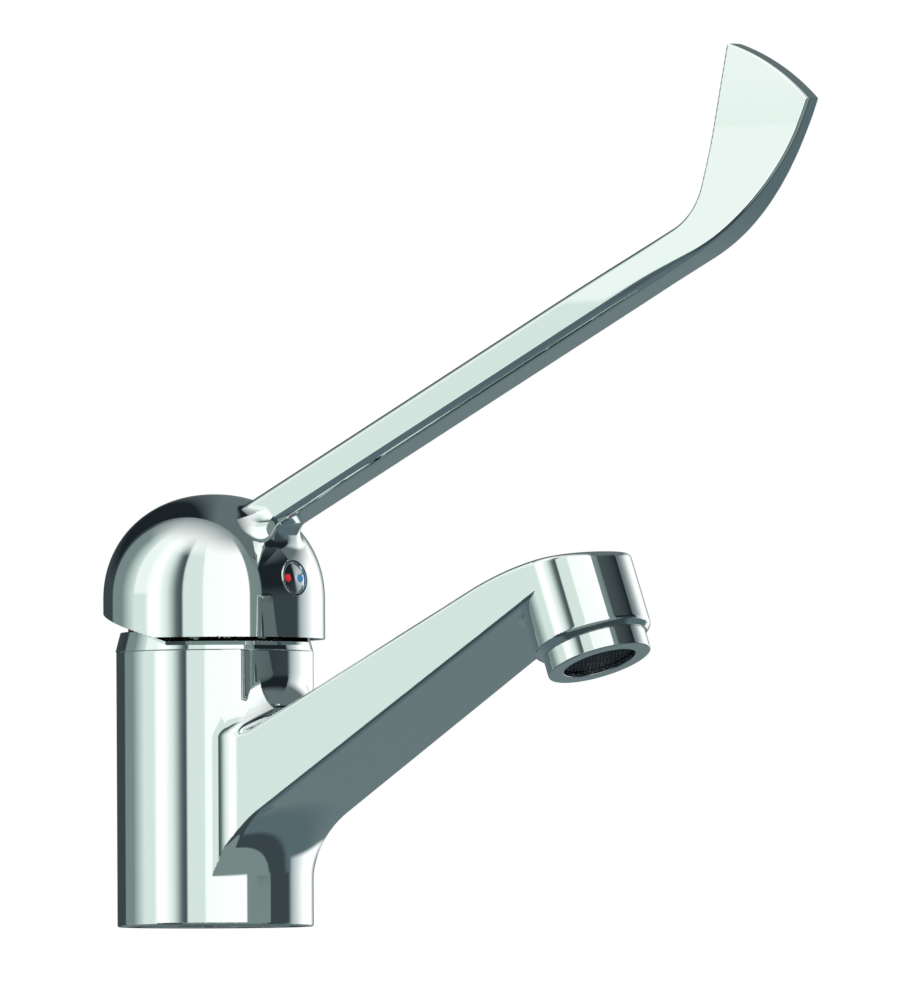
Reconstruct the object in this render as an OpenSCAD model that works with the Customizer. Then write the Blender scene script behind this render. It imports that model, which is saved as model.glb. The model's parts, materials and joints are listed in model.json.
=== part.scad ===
// Single-lever basin mixer with a long elbow lever.
// Lengths are in millimetres and angles in degrees. The origin is the centre of the foot,
// on the deck. +Z is up and the spout and the lever point along -Y.
// Most shapes are drawn in a side plane with u forward and z up, and y across the tap.

/* [Body] */
// Diameter of the upright body
body_d = 46; // [44.5:0.5:50]
// Height of the body, up to the trim ring
body_h = 64.4; // [62:0.2:72]
// Depth of the cartridge bore below the body's top
cartridge_depth = 31.4; // [31:0.1:33]

/* [Spout] */
// Distance from the tap's axis to the centre of the outlet rim
outlet_reach = 118.3; // [105:0.1:135]
// Depth of the centre of the outlet rim below the body's top
outlet_drop = 1; // [-4:0.1:4]
// Angle by which the jet leans forward
outlet_tilt = 21; // [17:0.5:24]
// Diameter of the outlet
outlet_d = 28; // [27:0.5:30]
// Chamfer round the outlet's rim
outlet_chamfer = 1.3; // [0.8:0.1:1.4]
// Width of the spout where it leaves the body
spout_w = 31.2; // [29:0.2:33]
// Depth below the body's top at which the spout's top line meets the tap's axis
spout_drop = 30; // [28:0.2:32]
// Height of the spout's root, between its top line and its underside on the tap's axis
spout_root_h = 24.3; // [22:0.1:25]
// Radius of the fillet above the spout
top_fillet = 9; // [7:0.5:12]
// Radius of the fillet below the spout
low_fillet = 20; // [12:0.5:22]
// Radius of the fillets beside the spout
side_fillet = 9; // [5:0.5:10]
// Diameter of the waterway in the spout
waterway_d = 7; // [5:0.1:7.4]

/* [Trim ring] */
// Height of the trim ring
trim_h = 4.6; // [4.4:0.1:5.2]
// Step of the trim ring beyond the body at its foot
trim_step = 0.2; // [0:0.1:0.4]
// Radius that the trim ring loses up to its top
trim_draw = 1.2; // [0.8:0.1:1.8]

/* [Cap] */
// Reach of the cap beyond the body
cap_overhang = 3; // [2.8:0.1:5]
// Height of the cap's rim above the body's top
cap_lift = 2.9; // [2.2:0.1:3.2]
// Height of the cap's upright wall
cap_wall_h = 9.3; // [8:0.1:12]
// Height of the dome above the upright wall
dome_h = 24.8; // [24:0.2:28]
// Thickness of the cap's upright wall
cap_wall = 1.8; // [1.4:0.1:2]
// Thickness of the dome at its top
dome_wall = 2.6; // [2:0.1:3.4]
// Angle of the relief cut under the cap's rear rim
relief_angle = 15; // [14:0.5:18]

/* [Lever] */
// Width of the arm across the tap
arm_w = 11; // [9:0.2:13]
// Thickness of the arm
arm_t = 8.7; // [7.5:0.1:10]
// Rise of the arm
arm_angle = 24.5; // [22:0.5:27]
// Depth below the dome's top at which the arm's centre line meets the tap's axis
arm_drop = 14.1; // [12:0.1:16]
// Distance from the tap's axis to the inside of the bend
bend_reach = 152.6; // [130:0.2:175]
// Radius of the inside of the bend
bend_r = 13.6; // [9:0.2:16]
// Length of the paddle's inner edge
paddle_l = 40.7; // [35:0.1:48]
// Lean of the paddle's inner edge above the horizontal
paddle_lean = 77.3; // [72:0.1:82]
// Width of the paddle at its top
paddle_w = 28.3; // [24:0.1:31]
// Fall of the paddle's top edge
paddle_fall = 29.2; // [24:0.1:34]
// Radius of the paddle's arched top edge
paddle_arch_r = 62; // [50:1:90]
// Thickness of the paddle
paddle_t = 4; // [3:0.1:5]
// Radius of the flare where the arm grows out of the dome
flare_r = 8; // [6:0.5:9]
// Greatest lift of the lever
lift_max = 20; // [16:1:20]

/* [Cartridge] */
// Thickness of the body's wall round the nut
body_wall = 4; // [3.4:0.1:4.6]
// Thickness of the nut's threaded wall over the cartridge
nut_wall = 1.5; // [1.2:0.1:2]
// Width of the shoulder that the nut presses on, and thickness of the housing's wall
shoulder_w = 3; // [2.6:0.1:3.2]
// Thickness of the housing's neck round the rotor
neck_wall = 2.72; // [2.2:0.02:3]
// Gap between the sliding disc and the housing at the end of its travel
disc_gap = 0.84; // [0.5:0.02:1.2]
// Thickness of each ceramic disc
disc_t = 3.5; // [3.2:0.05:3.6]
// Diameter of the water ports
port_d = 5.6; // [4.6:0.1:5.8]
// Diameter of the pivot pin
pivot_d = 3; // [2.5:0.1:3.4]
// Height of the pivot above the body's top
pivot_lift = 1.6; // [1.4:0.1:1.8]
// Distance from the pivot down to the stem's ball
stem_arm = 18.5; // [18.4:0.05:18.7]
// Diameter of the stem's ball
ball_d = 5.8; // [5.4:0.1:5.9]

/* [Stem and plug] */
// Length of the stem's head along the spout
stem_l = 8; // [7:0.1:8.4]
// Width of the stem's head across the tap
stem_w = 6; // [5:0.1:6.4]
// Height of the stem's top above the pivot
stem_h = 22; // [20:0.2:23]
// Diameter of the set screw
screw_d = 4.8; // [4:0.1:5]
// Length of the set screw
screw_l = 8; // [6:0.2:10]
// Diameter of the index plug
plug_d = 8; // [7:0.1:8.6]
// Height of the index plug's centre above the cap's rim
plug_h = 13.9; // [13.4:0.1:15]
// Upward tilt of the index plug
plug_tilt = 7.5; // [5:0.5:10]
// Diameter of the red and blue dots
dot_d = 2; // [1.4:0.1:2.4]
// Distance of each dot from the plug's centre
dot_offset = 2.1; // [1.6:0.1:2.3]

/* [Aerator] */
// Diameter of the aerator's thread
aerator_thread_d = 24; // [23:0.1:24.2]
// Diameter of the aerator's ring below the outlet
aerator_d = 24.6; // [24.5:0.1:26]
// Height of the aerator's ring below the outlet
aerator_drop = 4.6; // [3:0.1:6]
// Length of the aerator's thread
aerator_thread_l = 7.5; // [6:0.1:8]
// Diameter of the mesh that shows
mesh_d = 17.2; // [15:0.1:18]
// Distance between the wires of the mesh
mesh_pitch = 1.7; // [1.5:0.1:2.4]

/* [Foot] */
// Diameter of the stud's threaded hole
stud_d = 6.8; // [6:0.1:7.4]
// Depth of the stud's threaded hole
stud_depth = 10; // [8:0.5:11.5]
// Diameter of the hose inlets
inlet_d = 9; // [8:0.1:9.4]
// Depth of the hose inlets
inlet_depth = 14; // [10:0.5:16]
// Distance of each hose inlet from the middle plane
inlet_side = 10.5; // [10:0.1:11]
// Distance from the foot's edge to the middle of its gasket
gasket_inset = 3.8; // [3.4:0.1:4.6]

/* [Fits] */
// Radial clearance of a part that turns or slides in another
run_fit = 0.08; // [0.05:0.01:0.1]
// Gap between faces that slide past each other
slide_gap = 0.2; // [0.1:0.05:0.3]
// Radial clearance of a part that is pushed or screwed into another
push_fit = 0.1; // [0.05:0.01:0.15]

/* [Hidden] */
$fn = 64;

chrome = "#c9d3d0";
brass = "#c8a95a";
steel = "#a9afb2";
rubber = "#2b2d2f";
white_plastic = "#e9e9e4";
grey_plastic = "#8d9396";
ceramic = "#dcdad2";
black_plastic = "#26282a";

// Sides of the tap, as signs along y
hot = -1;
cold = 1;
eps = 0.05;

// Radii
body_r = body_d / 2;
outlet_r = outlet_d / 2;
cap_r = body_r + cap_overhang;
waterway_r = waterway_d / 2;
nut_bore_r = body_r - body_wall;
nut_r = nut_bore_r - push_fit;
cartridge_r = nut_r - nut_wall;
bore_r = cartridge_r + 2 * push_fit;
neck_r = cartridge_r - shoulder_w;
chamber_r = cartridge_r - shoulder_w;
rotor_r = neck_r - neck_wall - run_fit;
port_r = port_d / 2;
pivot_r = pivot_d / 2;
ball_r = ball_d / 2;
plug_r = plug_d / 2;
screw_r = screw_d / 2;
inlet_r = inlet_d / 2;
stud_r = stud_d / 2;

// Foot
gasket_r = body_r - gasket_inset;
inlet_u = 3;
gasket_w = 2.8;
gasket_t = 1.9;
groove_depth = gasket_t + push_fit;

// Cartridge, from the bottom up
floor_z = body_h - cartridge_depth;
base_t = 3.6;
base_top_z = floor_z + base_t;
lower_disc_top_z = base_top_z + disc_t;
upper_disc_z = lower_disc_top_z + slide_gap / 2;
carrier_z = upper_disc_z + disc_t;
carrier_t = 6;
rotor_z = carrier_z + carrier_t + slide_gap;
rotor_flange_t = 3;
hub_r = 4.2;
flange_top_z = rotor_z + rotor_flange_t;
shoulder_drop = 4.4;
shoulder_z = body_h - shoulder_drop;
neck_top_z = body_h + trim_h;
rotor_stand = 0.5;
rotor_top_z = neck_top_z + rotor_stand;
pivot_z = body_h + pivot_lift;
ball_z = pivot_z - stem_arm;
lower_disc_r = chamber_r - 5 * push_fit;
ball_travel = stem_arm * sin(lift_max);
carrier_u = -ball_travel / 2;
disc_r = chamber_r - ball_travel / 2 - disc_gap;
rotor_flange_r = chamber_r - 5 * push_fit;

// Round seal in a groove of the housing
ring_seal_t = 1.6;
ring_seal_r = bore_r - push_fit - ring_seal_t / 2;
ring_seal_lift = 6;
ring_seal_z = base_top_z + ring_seal_lift;

// Ports: two inlets in front and the mixed water's port behind, as [u, y]
port_angle = 53.75;
port_edge = 1.8;
port_ring_r = lower_disc_r - port_r - port_edge;
port_u = port_ring_r * cos(port_angle);
port_side = port_ring_r * sin(port_angle);
mixed_u = -4.5;
function port_place(side) = side == 0 ? [mixed_u, 0] : [port_u, side * port_side];
seal_t = 1.2;
seal_w = 1;
pocket_wall = 3.8;
pocket_r = disc_r - pocket_wall;
pocket_u = -1.3;
pocket_depth = 1.6;

// Nut and trim ring
nut_bore_z = shoulder_z - 2;
nut_flange_w = 1.3;
nut_flange_r = nut_r + nut_flange_w;
nut_flange_t = 1.5;
nut_slots = 6;
nut_slot_w = 3;
nut_slot_depth = 1;
trim_foot_r = body_r + trim_step;

// Cap
cap_z = body_h + cap_lift;
dome_z = cap_z + cap_wall_h;
cap_top_z = dome_z + dome_h;
dome_power = 2.1;
relief_u = 4;
boss_r = 8;
boss_gap = 5;
boss_z = neck_top_z + boss_gap;
socket_top_z = pivot_z + stem_h + 1;

// Spout, as points [u, z]
spout_top_z = body_h - spout_drop;
spout_low_z = spout_top_z - spout_root_h;
outlet_l = 17.8;
crown_back = 26.3;
crown_rise = 13;
hollow_back = 13.3;
hollow_rise = 7.2;
water_back = 18.3;
water_rise = 9.8;
water_sink = 6;
outlet_centre = [outlet_reach, body_h - outlet_drop];
outlet_up = [-sin(outlet_tilt), cos(outlet_tilt)];
outlet_front = [cos(outlet_tilt), sin(outlet_tilt)];
crown_start = outlet_centre + [-crown_back, crown_rise];
crown_end = outlet_centre + outlet_r * outlet_front + outlet_l * outlet_up;
low_end = outlet_centre + [-hollow_back, hollow_rise];
crown_edge = 1.2;
top_angle = atan2(crown_start[1] - spout_top_z, crown_start[0]);
low_angle = atan2(low_end[1] - spout_low_z, low_end[0]);
outlet_lip = 0.2;
spout_end_w = outlet_d - 2 * outlet_lip;
root_u = sqrt(pow(body_r, 2) - pow(spout_w / 2, 2));
waterway_root = [bore_r, floor_z - water_sink];
waterway_end = outlet_centre + [-water_back, water_rise];
waterway_angle = atan2(waterway_end[1] - waterway_root[1], waterway_end[0] - waterway_root[0]);
waterway_back = (bore_r - mixed_u) / cos(waterway_angle);
waterway_front = 7;

// Outlet bore, as depths from the rim along the outlet's axis
gasket_seat_t = 1.6;
seat_depth = aerator_thread_l + gasket_seat_t;
outlet_chamber_l = 7.9;
chamber_depth = seat_depth + outlet_chamber_l;
outlet_chamber_r = 8.5;
thread_r = aerator_thread_d / 2;
aerator_wall = 1.7;
housing_bore_r = thread_r - aerator_wall;
lip_t = 1.2;
mesh_t = 0.5;

// Lever
arm_dir = [cos(arm_angle), sin(arm_angle)];
arm_up = [-sin(arm_angle), cos(arm_angle)];
arm_axis_z = cap_top_z - arm_drop;
bend_corner = [bend_reach, arm_axis_z + bend_reach * tan(arm_angle) + arm_t / 2 / cos(arm_angle)];
edge_dir = [cos(paddle_lean), sin(paddle_lean)];
paddle_inner = bend_corner + paddle_l * edge_dir;
paddle_outer = paddle_inner + paddle_w * [cos(paddle_fall), -sin(paddle_fall)];
sweep_lag = 4.4;
sweep_start = bend_corner - sweep_lag * arm_dir - arm_t * arm_up;
sweep_chord = paddle_outer - sweep_start;
sweep_r = (sweep_chord * sweep_chord) / (2 * (sweep_chord * arm_up));
sweep_turn = 2 * asin(norm(sweep_chord) / 2 / sweep_r);
arm_top_r = 1.2;
arm_low_r = 2.2;
thin_below = 13;
thin_above = 15;
thin_from_z = bend_corner[1] - thin_below;
thin_to_z = bend_corner[1] + thin_above;
paddle_draw = 0.1;
arch_half_turn = asin(paddle_w / 2 / paddle_arch_r);
arch_centre = (paddle_inner + paddle_outer) / 2
    - paddle_arch_r * cos(arch_half_turn) * [sin(paddle_fall), cos(paddle_fall)];
root_start = 9;
root_depth = 6.4;
root_run = cap_r - root_depth;
root_tilt = 45;
flare_turn = 75;
flare_sink = 2.2;
flare_l = flare_r * sin(flare_turn) - flare_sink;
flare_base = [7.5, -4.2];

// Index plug
plug_centre_z = cap_z + plug_h;
plug_sink = 0.55;
plug_u = cap_r - plug_sink;
plug_depth = 4.5;
plug_wall = 1.4;
screw_boss_r = plug_r + plug_wall;
screw_start = stem_l / 2 / cos(plug_tilt) + screw_r * tan(plug_tilt) + push_fit / 2;
plug_run = plug_u / cos(plug_tilt);
screw_axis_z = plug_centre_z - plug_u * tan(plug_tilt);
dot_t = 0.4;
dot_inset = 0.1;

// Points along a circular arc
function arc(centre, r, from, to, steps = 12) =
    [for (i = [0:steps]) let (a = from + (to - from) * i / steps) centre + r * [cos(a), sin(a)]];

// Points of a dome that stands on a circle of radius r at height z
function dome_points(r, h, z, steps = 20) = concat(
    [for (i = [0:steps - 1]) let (a = 90 * i / steps)
        [r * pow(cos(a), 2 / dome_power), z + h * pow(sin(a), 2 / dome_power)]],
    [[0, z + h]]
);

// Turns a solid drawn with u along +X and y along +Y to the tap's own directions
module along_spout() {
    rotate([0, 0, -90]) children();
}

// Extrudes an outline of the side plane across the tap
module across(width) {
    rotate([90, 0, 0]) linear_extrude(width, center = true) children();
}

// A cylinder across the tap, centred on the middle plane at p = [u, z]
module cross_pin(p, r, length) {
    translate([p[0], 0, p[1]]) rotate([90, 0, 0]) cylinder(h = length, r = r, center = true);
}

// A flat ring standing on z
module ring(outer, inner, height, z) {
    translate([0, 0, z]) difference() {
        cylinder(h = height, r = outer);
        translate([0, 0, -eps]) cylinder(h = height + 2 * eps, r = inner);
    }
}

// Places children on the outlet's axis, with +Z going up into the spout from the rim
module on_outlet(depth = 0) {
    p = outlet_centre + depth * outlet_up;
    translate([p[0], 0, p[1]]) rotate([0, -outlet_tilt, 0]) children();
}

// Places children on the set screw's axis, with +Z going out through the index plug
module on_screw_axis(run = 0) {
    translate([0, 0, screw_axis_z]) rotate([0, 90 - plug_tilt, 0]) translate([0, 0, run]) children();
}

// Everything below the line of the spout's top, from the fillet at the body to the outlet's crown
module below_top_line() {
    fillet_u = root_u + top_fillet;
    fillet_z = spout_top_z + fillet_u * tan(top_angle) + top_fillet / cos(top_angle);
    chord = crown_end - crown_start;
    normal = [sin(top_angle), -cos(top_angle)];
    crown_r = (chord * chord) / (2 * (chord * normal));
    crown_turn = 2 * asin(norm(chord) / 2 / crown_r);
    far_u = crown_end[0] + 2 * outlet_r;
    polygon(concat(
        [[0, 0], [far_u, 0], [far_u, crown_end[1] - crown_edge - far_u + crown_end[0]]],
        [crown_end - [0, crown_edge], crown_end - [crown_edge, 0]],
        arc(crown_start + crown_r * normal, crown_r, 89 + top_angle - crown_turn + 2, 90 + top_angle),
        arc([fillet_u, fillet_z], top_fillet, top_angle - 90, -180),
        [[0, fillet_z]]
    ));
}

// Everything above the line of the spout's underside, as far forward as the outlet's axis
module above_low_line() {
    fillet_u = root_u + low_fillet;
    fillet_z = spout_low_z + fillet_u * tan(low_angle) - low_fillet / cos(low_angle);
    reach = (outlet_centre[1] - spout_low_z - outlet_centre[0] * tan(low_angle))
        / (outlet_up[0] * tan(low_angle) - outlet_up[1]);
    polygon(concat(
        [[0, fillet_z]],
        arc([fillet_u, fillet_z], low_fillet, 180, 90 + low_angle),
        [outlet_centre + reach * outlet_up, outlet_centre + 2 * outlet_d * outlet_up],
        [[0, 2 * body_h]]
    ));
}

// The spout from above, with fillets to the body on both sides
module spout_plan() {
    half_w = spout_w / 2;
    fillet_y = half_w + side_fillet;
    fillet_u = sqrt(pow(body_r + side_fillet, 2) - pow(fillet_y, 2));
    to_body = 180 + atan2(fillet_y, fillet_u);
    side = concat(
        arc([fillet_u, fillet_y], side_fillet, to_body, 270),
        [[outlet_reach, spout_end_w / 2]]
    );
    mirrored = [for (i = [len(side) - 1:-1:0]) [side[i][0], -side[i][1]]];
    polygon(concat([[0, -side[0][1]], [0, side[0][1]]], side, mirrored));
}

module spout_solid() {
    intersection() {
        across(body_d) intersection() {
            below_top_line();
            above_low_line();
        }
        linear_extrude(2 * body_h) spout_plan();
    }
    intersection() {
        on_outlet() rotate_extrude() polygon([
            [0, 0], [outlet_r - outlet_chamfer, 0], [outlet_r, outlet_chamfer], [outlet_r, outlet_d], [0, outlet_d]
        ]);
        across(2 * outlet_d) below_top_line();
    }
}

// The hose inlets, the stud's hole, the feeds to the cartridge and the way to the outlet
module waterways() {
    for (side = [hot, cold]) {
        translate([inlet_u, side * inlet_side, -eps]) cylinder(h = inlet_depth + eps, r = inlet_r);
        translate([port_u, side * port_side, inlet_depth - 1])
            cylinder(h = floor_z - inlet_depth + 1 + eps, r = port_r);
    }
    translate([0, 0, -eps]) cylinder(h = stud_depth + eps, r = stud_r);
    length = norm(waterway_end - waterway_root) + waterway_front;
    translate([waterway_root[0], 0, waterway_root[1]]) rotate([0, 90 - waterway_angle, 0])
        translate([0, 0, -waterway_back]) cylinder(h = waterway_back + length, r = waterway_r);
    mixed_z = waterway_root[1] - (waterway_root[0] - mixed_u) * tan(waterway_angle);
    translate([mixed_u, 0, mixed_z]) cylinder(h = floor_z - mixed_z + eps, r = port_r);
    on_outlet(-eps) cylinder(h = seat_depth + eps, r = thread_r);
    on_outlet(seat_depth - eps) cylinder(h = chamber_depth - seat_depth + eps, r = outlet_chamber_r);
}

module body_casting() {
    color(chrome) along_spout() difference() {
        union() {
            cylinder(h = body_h, r = body_r);
            spout_solid();
        }
        translate([0, 0, floor_z]) cylinder(h = body_h, r = bore_r);
        translate([0, 0, nut_bore_z]) cylinder(h = body_h, r = nut_bore_r);
        ring(gasket_r + gasket_w / 2 + push_fit, gasket_r - gasket_w / 2 - push_fit,
            groove_depth + eps, -eps);
        waterways();
    }
}

module base_gasket() {
    color(rubber) ring(gasket_r + gasket_w / 2, gasket_r - gasket_w / 2, gasket_t, 0);
}

module trim_ring() {
    color(chrome) translate([0, 0, body_h]) difference() {
        cylinder(h = trim_h, r1 = trim_foot_r, r2 = trim_foot_r - trim_draw);
        translate([0, 0, -eps]) cylinder(h = trim_h + 2 * eps, r = nut_bore_r);
    }
}

module cartridge_nut() {
    color(brass) along_spout() difference() {
        union() {
            translate([0, 0, shoulder_z]) cylinder(h = neck_top_z - shoulder_z, r = nut_r);
            translate([0, 0, neck_top_z]) cylinder(h = nut_flange_t, r = nut_flange_r);
        }
        translate([0, 0, shoulder_z - eps])
            cylinder(h = neck_top_z + nut_flange_t - shoulder_z + 2 * eps, r = neck_r + push_fit);
        for (i = [0:nut_slots - 1]) rotate([0, 0, i * 360 / nut_slots])
            translate([nut_flange_r - nut_slot_depth, -nut_slot_w / 2, neck_top_z])
                cube([nut_slot_w, nut_slot_w, nut_flange_t + eps]);
    }
}

module cartridge_housing() {
    color(white_plastic) difference() {
        union() {
            translate([0, 0, base_top_z]) cylinder(h = shoulder_z - base_top_z, r = cartridge_r);
            translate([0, 0, base_top_z]) cylinder(h = neck_top_z - base_top_z, r = neck_r);
        }
        translate([0, 0, base_top_z - eps])
            cylinder(h = flange_top_z + slide_gap - base_top_z + eps, r = chamber_r);
        cylinder(h = neck_top_z + eps, r = rotor_r + run_fit);
        ring(cartridge_r + 1, ring_seal_r - ring_seal_t / 2 - push_fit, ring_seal_t + 2 * push_fit,
            ring_seal_z - push_fit);
    }
}

module housing_ring_seal() {
    color(rubber) translate([0, 0, ring_seal_z + ring_seal_t / 2])
        rotate_extrude() translate([ring_seal_r, 0]) circle(d = ring_seal_t, $fn = 24);
}

// Cuts a port and its seal's seat, which is sunk from the given height
module port_cut(side, seat_z) {
    translate(concat(port_place(side), [floor_z - eps])) cylinder(h = base_t + 2 * eps, r = port_r);
    translate(concat(port_place(side), [seat_z]))
        cylinder(h = seal_t + eps, r = port_r + seal_w + push_fit);
}

module cartridge_base() {
    color(grey_plastic) along_spout() difference() {
        translate([0, 0, floor_z]) cylinder(h = base_t, r = cartridge_r);
        for (side = [hot, 0, cold]) {
            port_cut(side, floor_z - eps);
            port_cut(side, base_top_z - seal_t);
        }
    }
}

module seal_at(side, z) {
    color(rubber) along_spout() translate(port_place(side)) ring(port_r + seal_w, port_r, seal_t, z);
}

module base_seal(side) {
    seal_at(side, floor_z);
}

module port_seal(side) {
    seal_at(side, base_top_z - seal_t);
}

module lower_ceramic_disc() {
    color(ceramic) along_spout() difference() {
        translate([0, 0, base_top_z]) cylinder(h = disc_t, r = lower_disc_r);
        for (side = [hot, 0, cold]) translate(concat(port_place(side), [base_top_z - eps]))
            cylinder(h = disc_t + 2 * eps, r = port_r);
    }
}

module upper_ceramic_disc() {
    color(ceramic) along_spout() translate([carrier_u, 0, upper_disc_z]) difference() {
        cylinder(h = disc_t, r = disc_r);
        translate([pocket_u, 0, -eps]) cylinder(h = pocket_depth + eps, r = pocket_r);
    }
}

module disc_carrier() {
    gap = ball_r + slide_gap;
    color(grey_plastic) along_spout() difference() {
        translate([carrier_u, 0, carrier_z]) cylinder(h = carrier_t, r = disc_r);
        translate([-gap, -gap, ball_z - gap]) cube([2 * gap, 2 * gap, carrier_t]);
    }
}

module hot_limit_ring() {
    color("#c23a36") ring(neck_r - push_fit, rotor_r + 3 * push_fit, nut_flange_t, neck_top_z);
}

// The slot lets the stem swing: it is wide to the rear above the pivot and wide in front below it
module rotor() {
    slot_w = stem_w + 2 * slide_gap;
    mid_z = pivot_z - hub_r + slide_gap;
    hub_gap = 3 * slide_gap;
    rear_swing = (rotor_top_z - pivot_z) * tan(lift_max) + 5 * slide_gap;
    color(white_plastic) along_spout() difference() {
        union() {
            translate([0, 0, rotor_z]) cylinder(h = rotor_flange_t, r = rotor_flange_r);
            translate([0, 0, rotor_z]) cylinder(h = rotor_top_z - rotor_z, r = rotor_r);
        }
        translate([-stem_l / 2 - rear_swing, -slot_w / 2, mid_z])
            cube([stem_l + rear_swing + hub_gap, slot_w, rotor_top_z]);
        translate([-hub_r - hub_gap, -slot_w / 2, rotor_z - eps])
            cube([hub_r + hub_gap + ball_travel + ball_r, slot_w, mid_z - rotor_z + 2 * eps]);
        cross_pin([0, pivot_z], pivot_r + run_fit / 2, 2 * rotor_r + 1);
    }
}

module pivot_pin() {
    color(steel) along_spout() cross_pin([0, pivot_z], pivot_r, 2 * (rotor_r - 0.6));
}

module stem() {
    neck_gap = 0.7;
    color(brass) along_spout() difference() {
        union() {
            translate([-stem_l / 2, -stem_w / 2, pivot_z]) cube([stem_l, stem_w, stem_h]);
            cross_pin([0, pivot_z], hub_r, stem_w);
            translate([0, 0, ball_z]) cylinder(h = stem_arm, r = ball_r - neck_gap);
            translate([0, 0, ball_z]) sphere(r = ball_r);
        }
        cross_pin([0, pivot_z], pivot_r + run_fit, stem_w + 2);
    }
}

module cap_shell() {
    difference() {
        rotate_extrude() polygon(concat([[0, cap_z], [cap_r, cap_z]], dome_points(cap_r, dome_h, dome_z)));
        rotate_extrude() polygon(concat(
            [[0, cap_z - 1], [cap_r - cap_wall, cap_z - 1]],
            dome_points(cap_r - cap_wall, dome_h - dome_wall, dome_z)
        ));
    }
}

// The arm's cross-section, with x down and y across
module arm_section() {
    x = arm_t / 2;
    y = arm_w / 2;
    polygon(concat(
        arc([x - arm_low_r, y - arm_low_r], arm_low_r, 0, 90, 6),
        arc([-x + arm_top_r, y - arm_top_r], arm_top_r, 90, 180, 4),
        arc([-x + arm_top_r, -y + arm_top_r], arm_top_r, 180, 270, 4),
        arc([x - arm_low_r, -y + arm_low_r], arm_low_r, 270, 360, 6)
    ));
}

// Places children on the arm's centre line, with +Z along the arm
module on_arm(run) {
    translate([0, 0, arm_axis_z]) rotate([0, 90 - arm_angle, 0]) translate([0, 0, run]) children();
}

// The bend and the paddle in the side plane
module paddle_outline() {
    leg = bend_r * tan((paddle_lean - arm_angle) / 2);
    bend_start = bend_corner - leg * arm_dir;
    corner_r = 1.5;
    corner_inset = paddle_inner + corner_r * [sin(paddle_lean), -cos(paddle_lean)];
    reach = corner_inset - arch_centre;
    along_edge = reach * edge_dir;
    inner_leg = along_edge - sqrt(pow(along_edge, 2) - reach * reach + pow(paddle_arch_r - corner_r, 2));
    corner_centre = corner_inset - inner_leg * edge_dir;
    touch = corner_centre - arch_centre;
    touch_angle = atan2(touch[1], touch[0]);
    arch_from = 90 - paddle_fall - arch_half_turn;
    arch_steps = 8;
    arch_step = (touch_angle - arch_from) / arch_steps;
    polygon(concat(
        [bend_start - arm_t * arm_up],
        arc(sweep_start + sweep_r * arm_up, sweep_r, arm_angle - 90, arm_angle - 90 + sweep_turn, 16),
        arc(arch_centre, paddle_arch_r, arch_from + arch_step, touch_angle - arch_step, arch_steps - 2),
        arc(corner_centre, corner_r, touch_angle, 90 + paddle_lean, 5),
        arc(bend_start + bend_r * arm_up, bend_r, paddle_lean - 90, arm_angle - 90, 8)
    ));
}

// The arm's and the paddle's thickness seen from the front, against height
module thickness_outline() {
    top_z = paddle_inner[1] + 5;
    half = [
        [arm_w / 2, 0], [arm_w / 2, thin_from_z],
        [paddle_t / 2 + paddle_draw, thin_to_z], [paddle_t / 2 - paddle_draw, top_z]
    ];
    polygon(concat(half, [for (i = [len(half) - 1:-1:0]) [-half[i][0], half[i][1]]]));
}

// The flare at the arm's root, square to the dome and flat on top like the arm
module root_flare() {
    difference() {
        on_arm(root_run) rotate([0, arm_angle - root_tilt, 0]) rotate_extrude() polygon(concat(
            [[0, flare_base[1]], flare_base],
            arc([arm_t / 2 + flare_r, flare_l], flare_r, 180 + flare_turn, 180, 12),
            [[0, flare_l]]
        ));
        on_arm(0) translate([-arm_t / 2 - 2 * cap_r, -cap_r, 0]) cube(2 * cap_r);
    }
}

module arm_and_paddle() {
    bend_run = bend_reach / cos(arm_angle) - bend_r * tan((paddle_lean - arm_angle) / 2) + 2;
    on_arm(root_start) linear_extrude(bend_run - root_start) arm_section();
    root_flare();
    intersection() {
        across(2 * arm_w) paddle_outline();
        rotate([90, 0, 90]) linear_extrude(2 * bend_reach) thickness_outline();
    }
}

module lever_handle() {
    color(chrome) along_spout() difference() {
        union() {
            difference() {
                cap_shell();
                across(4 * cap_r) polygon([
                    [relief_u, cap_z], [relief_u, cap_z - 1], [-2 * cap_r, cap_z - 1],
                    [-2 * cap_r, cap_z + (2 * cap_r + relief_u) * tan(relief_angle)]
                ]);
            }
            translate([0, 0, boss_z]) cylinder(h = cap_top_z - dome_wall - boss_z, r = boss_r);
            on_screw_axis(stem_l / 2) cylinder(h = plug_run - 1 - stem_l / 2, r = screw_boss_r);
            arm_and_paddle();
        }
        translate([-stem_l / 2 - push_fit, -stem_w / 2 - push_fit, boss_z - eps])
            cube([stem_l + 2 * push_fit, stem_w + 2 * push_fit, socket_top_z - boss_z]);
        on_screw_axis() cylinder(h = plug_run, r = screw_r + push_fit);
        on_screw_axis(plug_run - plug_depth - push_fit) cylinder(h = plug_depth + 2, r = plug_r + push_fit);
    }
}

module set_screw() {
    socket_r = screw_r / 2;
    socket_depth = 3;
    color(steel) along_spout() on_screw_axis(screw_start) difference() {
        cylinder(h = screw_l, r = screw_r);
        translate([0, 0, screw_l - socket_depth]) cylinder(h = socket_depth + eps, r = socket_r, $fn = 6);
    }
}

// A short round pin on the plug's face, from the bottom of a dot's recess
module dot(side, height, r) {
    on_screw_axis(plug_run - dot_t) translate([0, side * dot_offset, 0]) cylinder(h = height, r = r);
}

module index_plug() {
    color(chrome) along_spout() difference() {
        on_screw_axis(plug_run - plug_depth) cylinder(h = plug_depth, r = plug_r);
        for (side = [hot, cold]) dot(side, dot_t + eps, dot_d / 2);
    }
}

module mark(side) {
    along_spout() dot(side, dot_t - dot_inset, dot_d / 2 - push_fit / 2);
}

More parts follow.
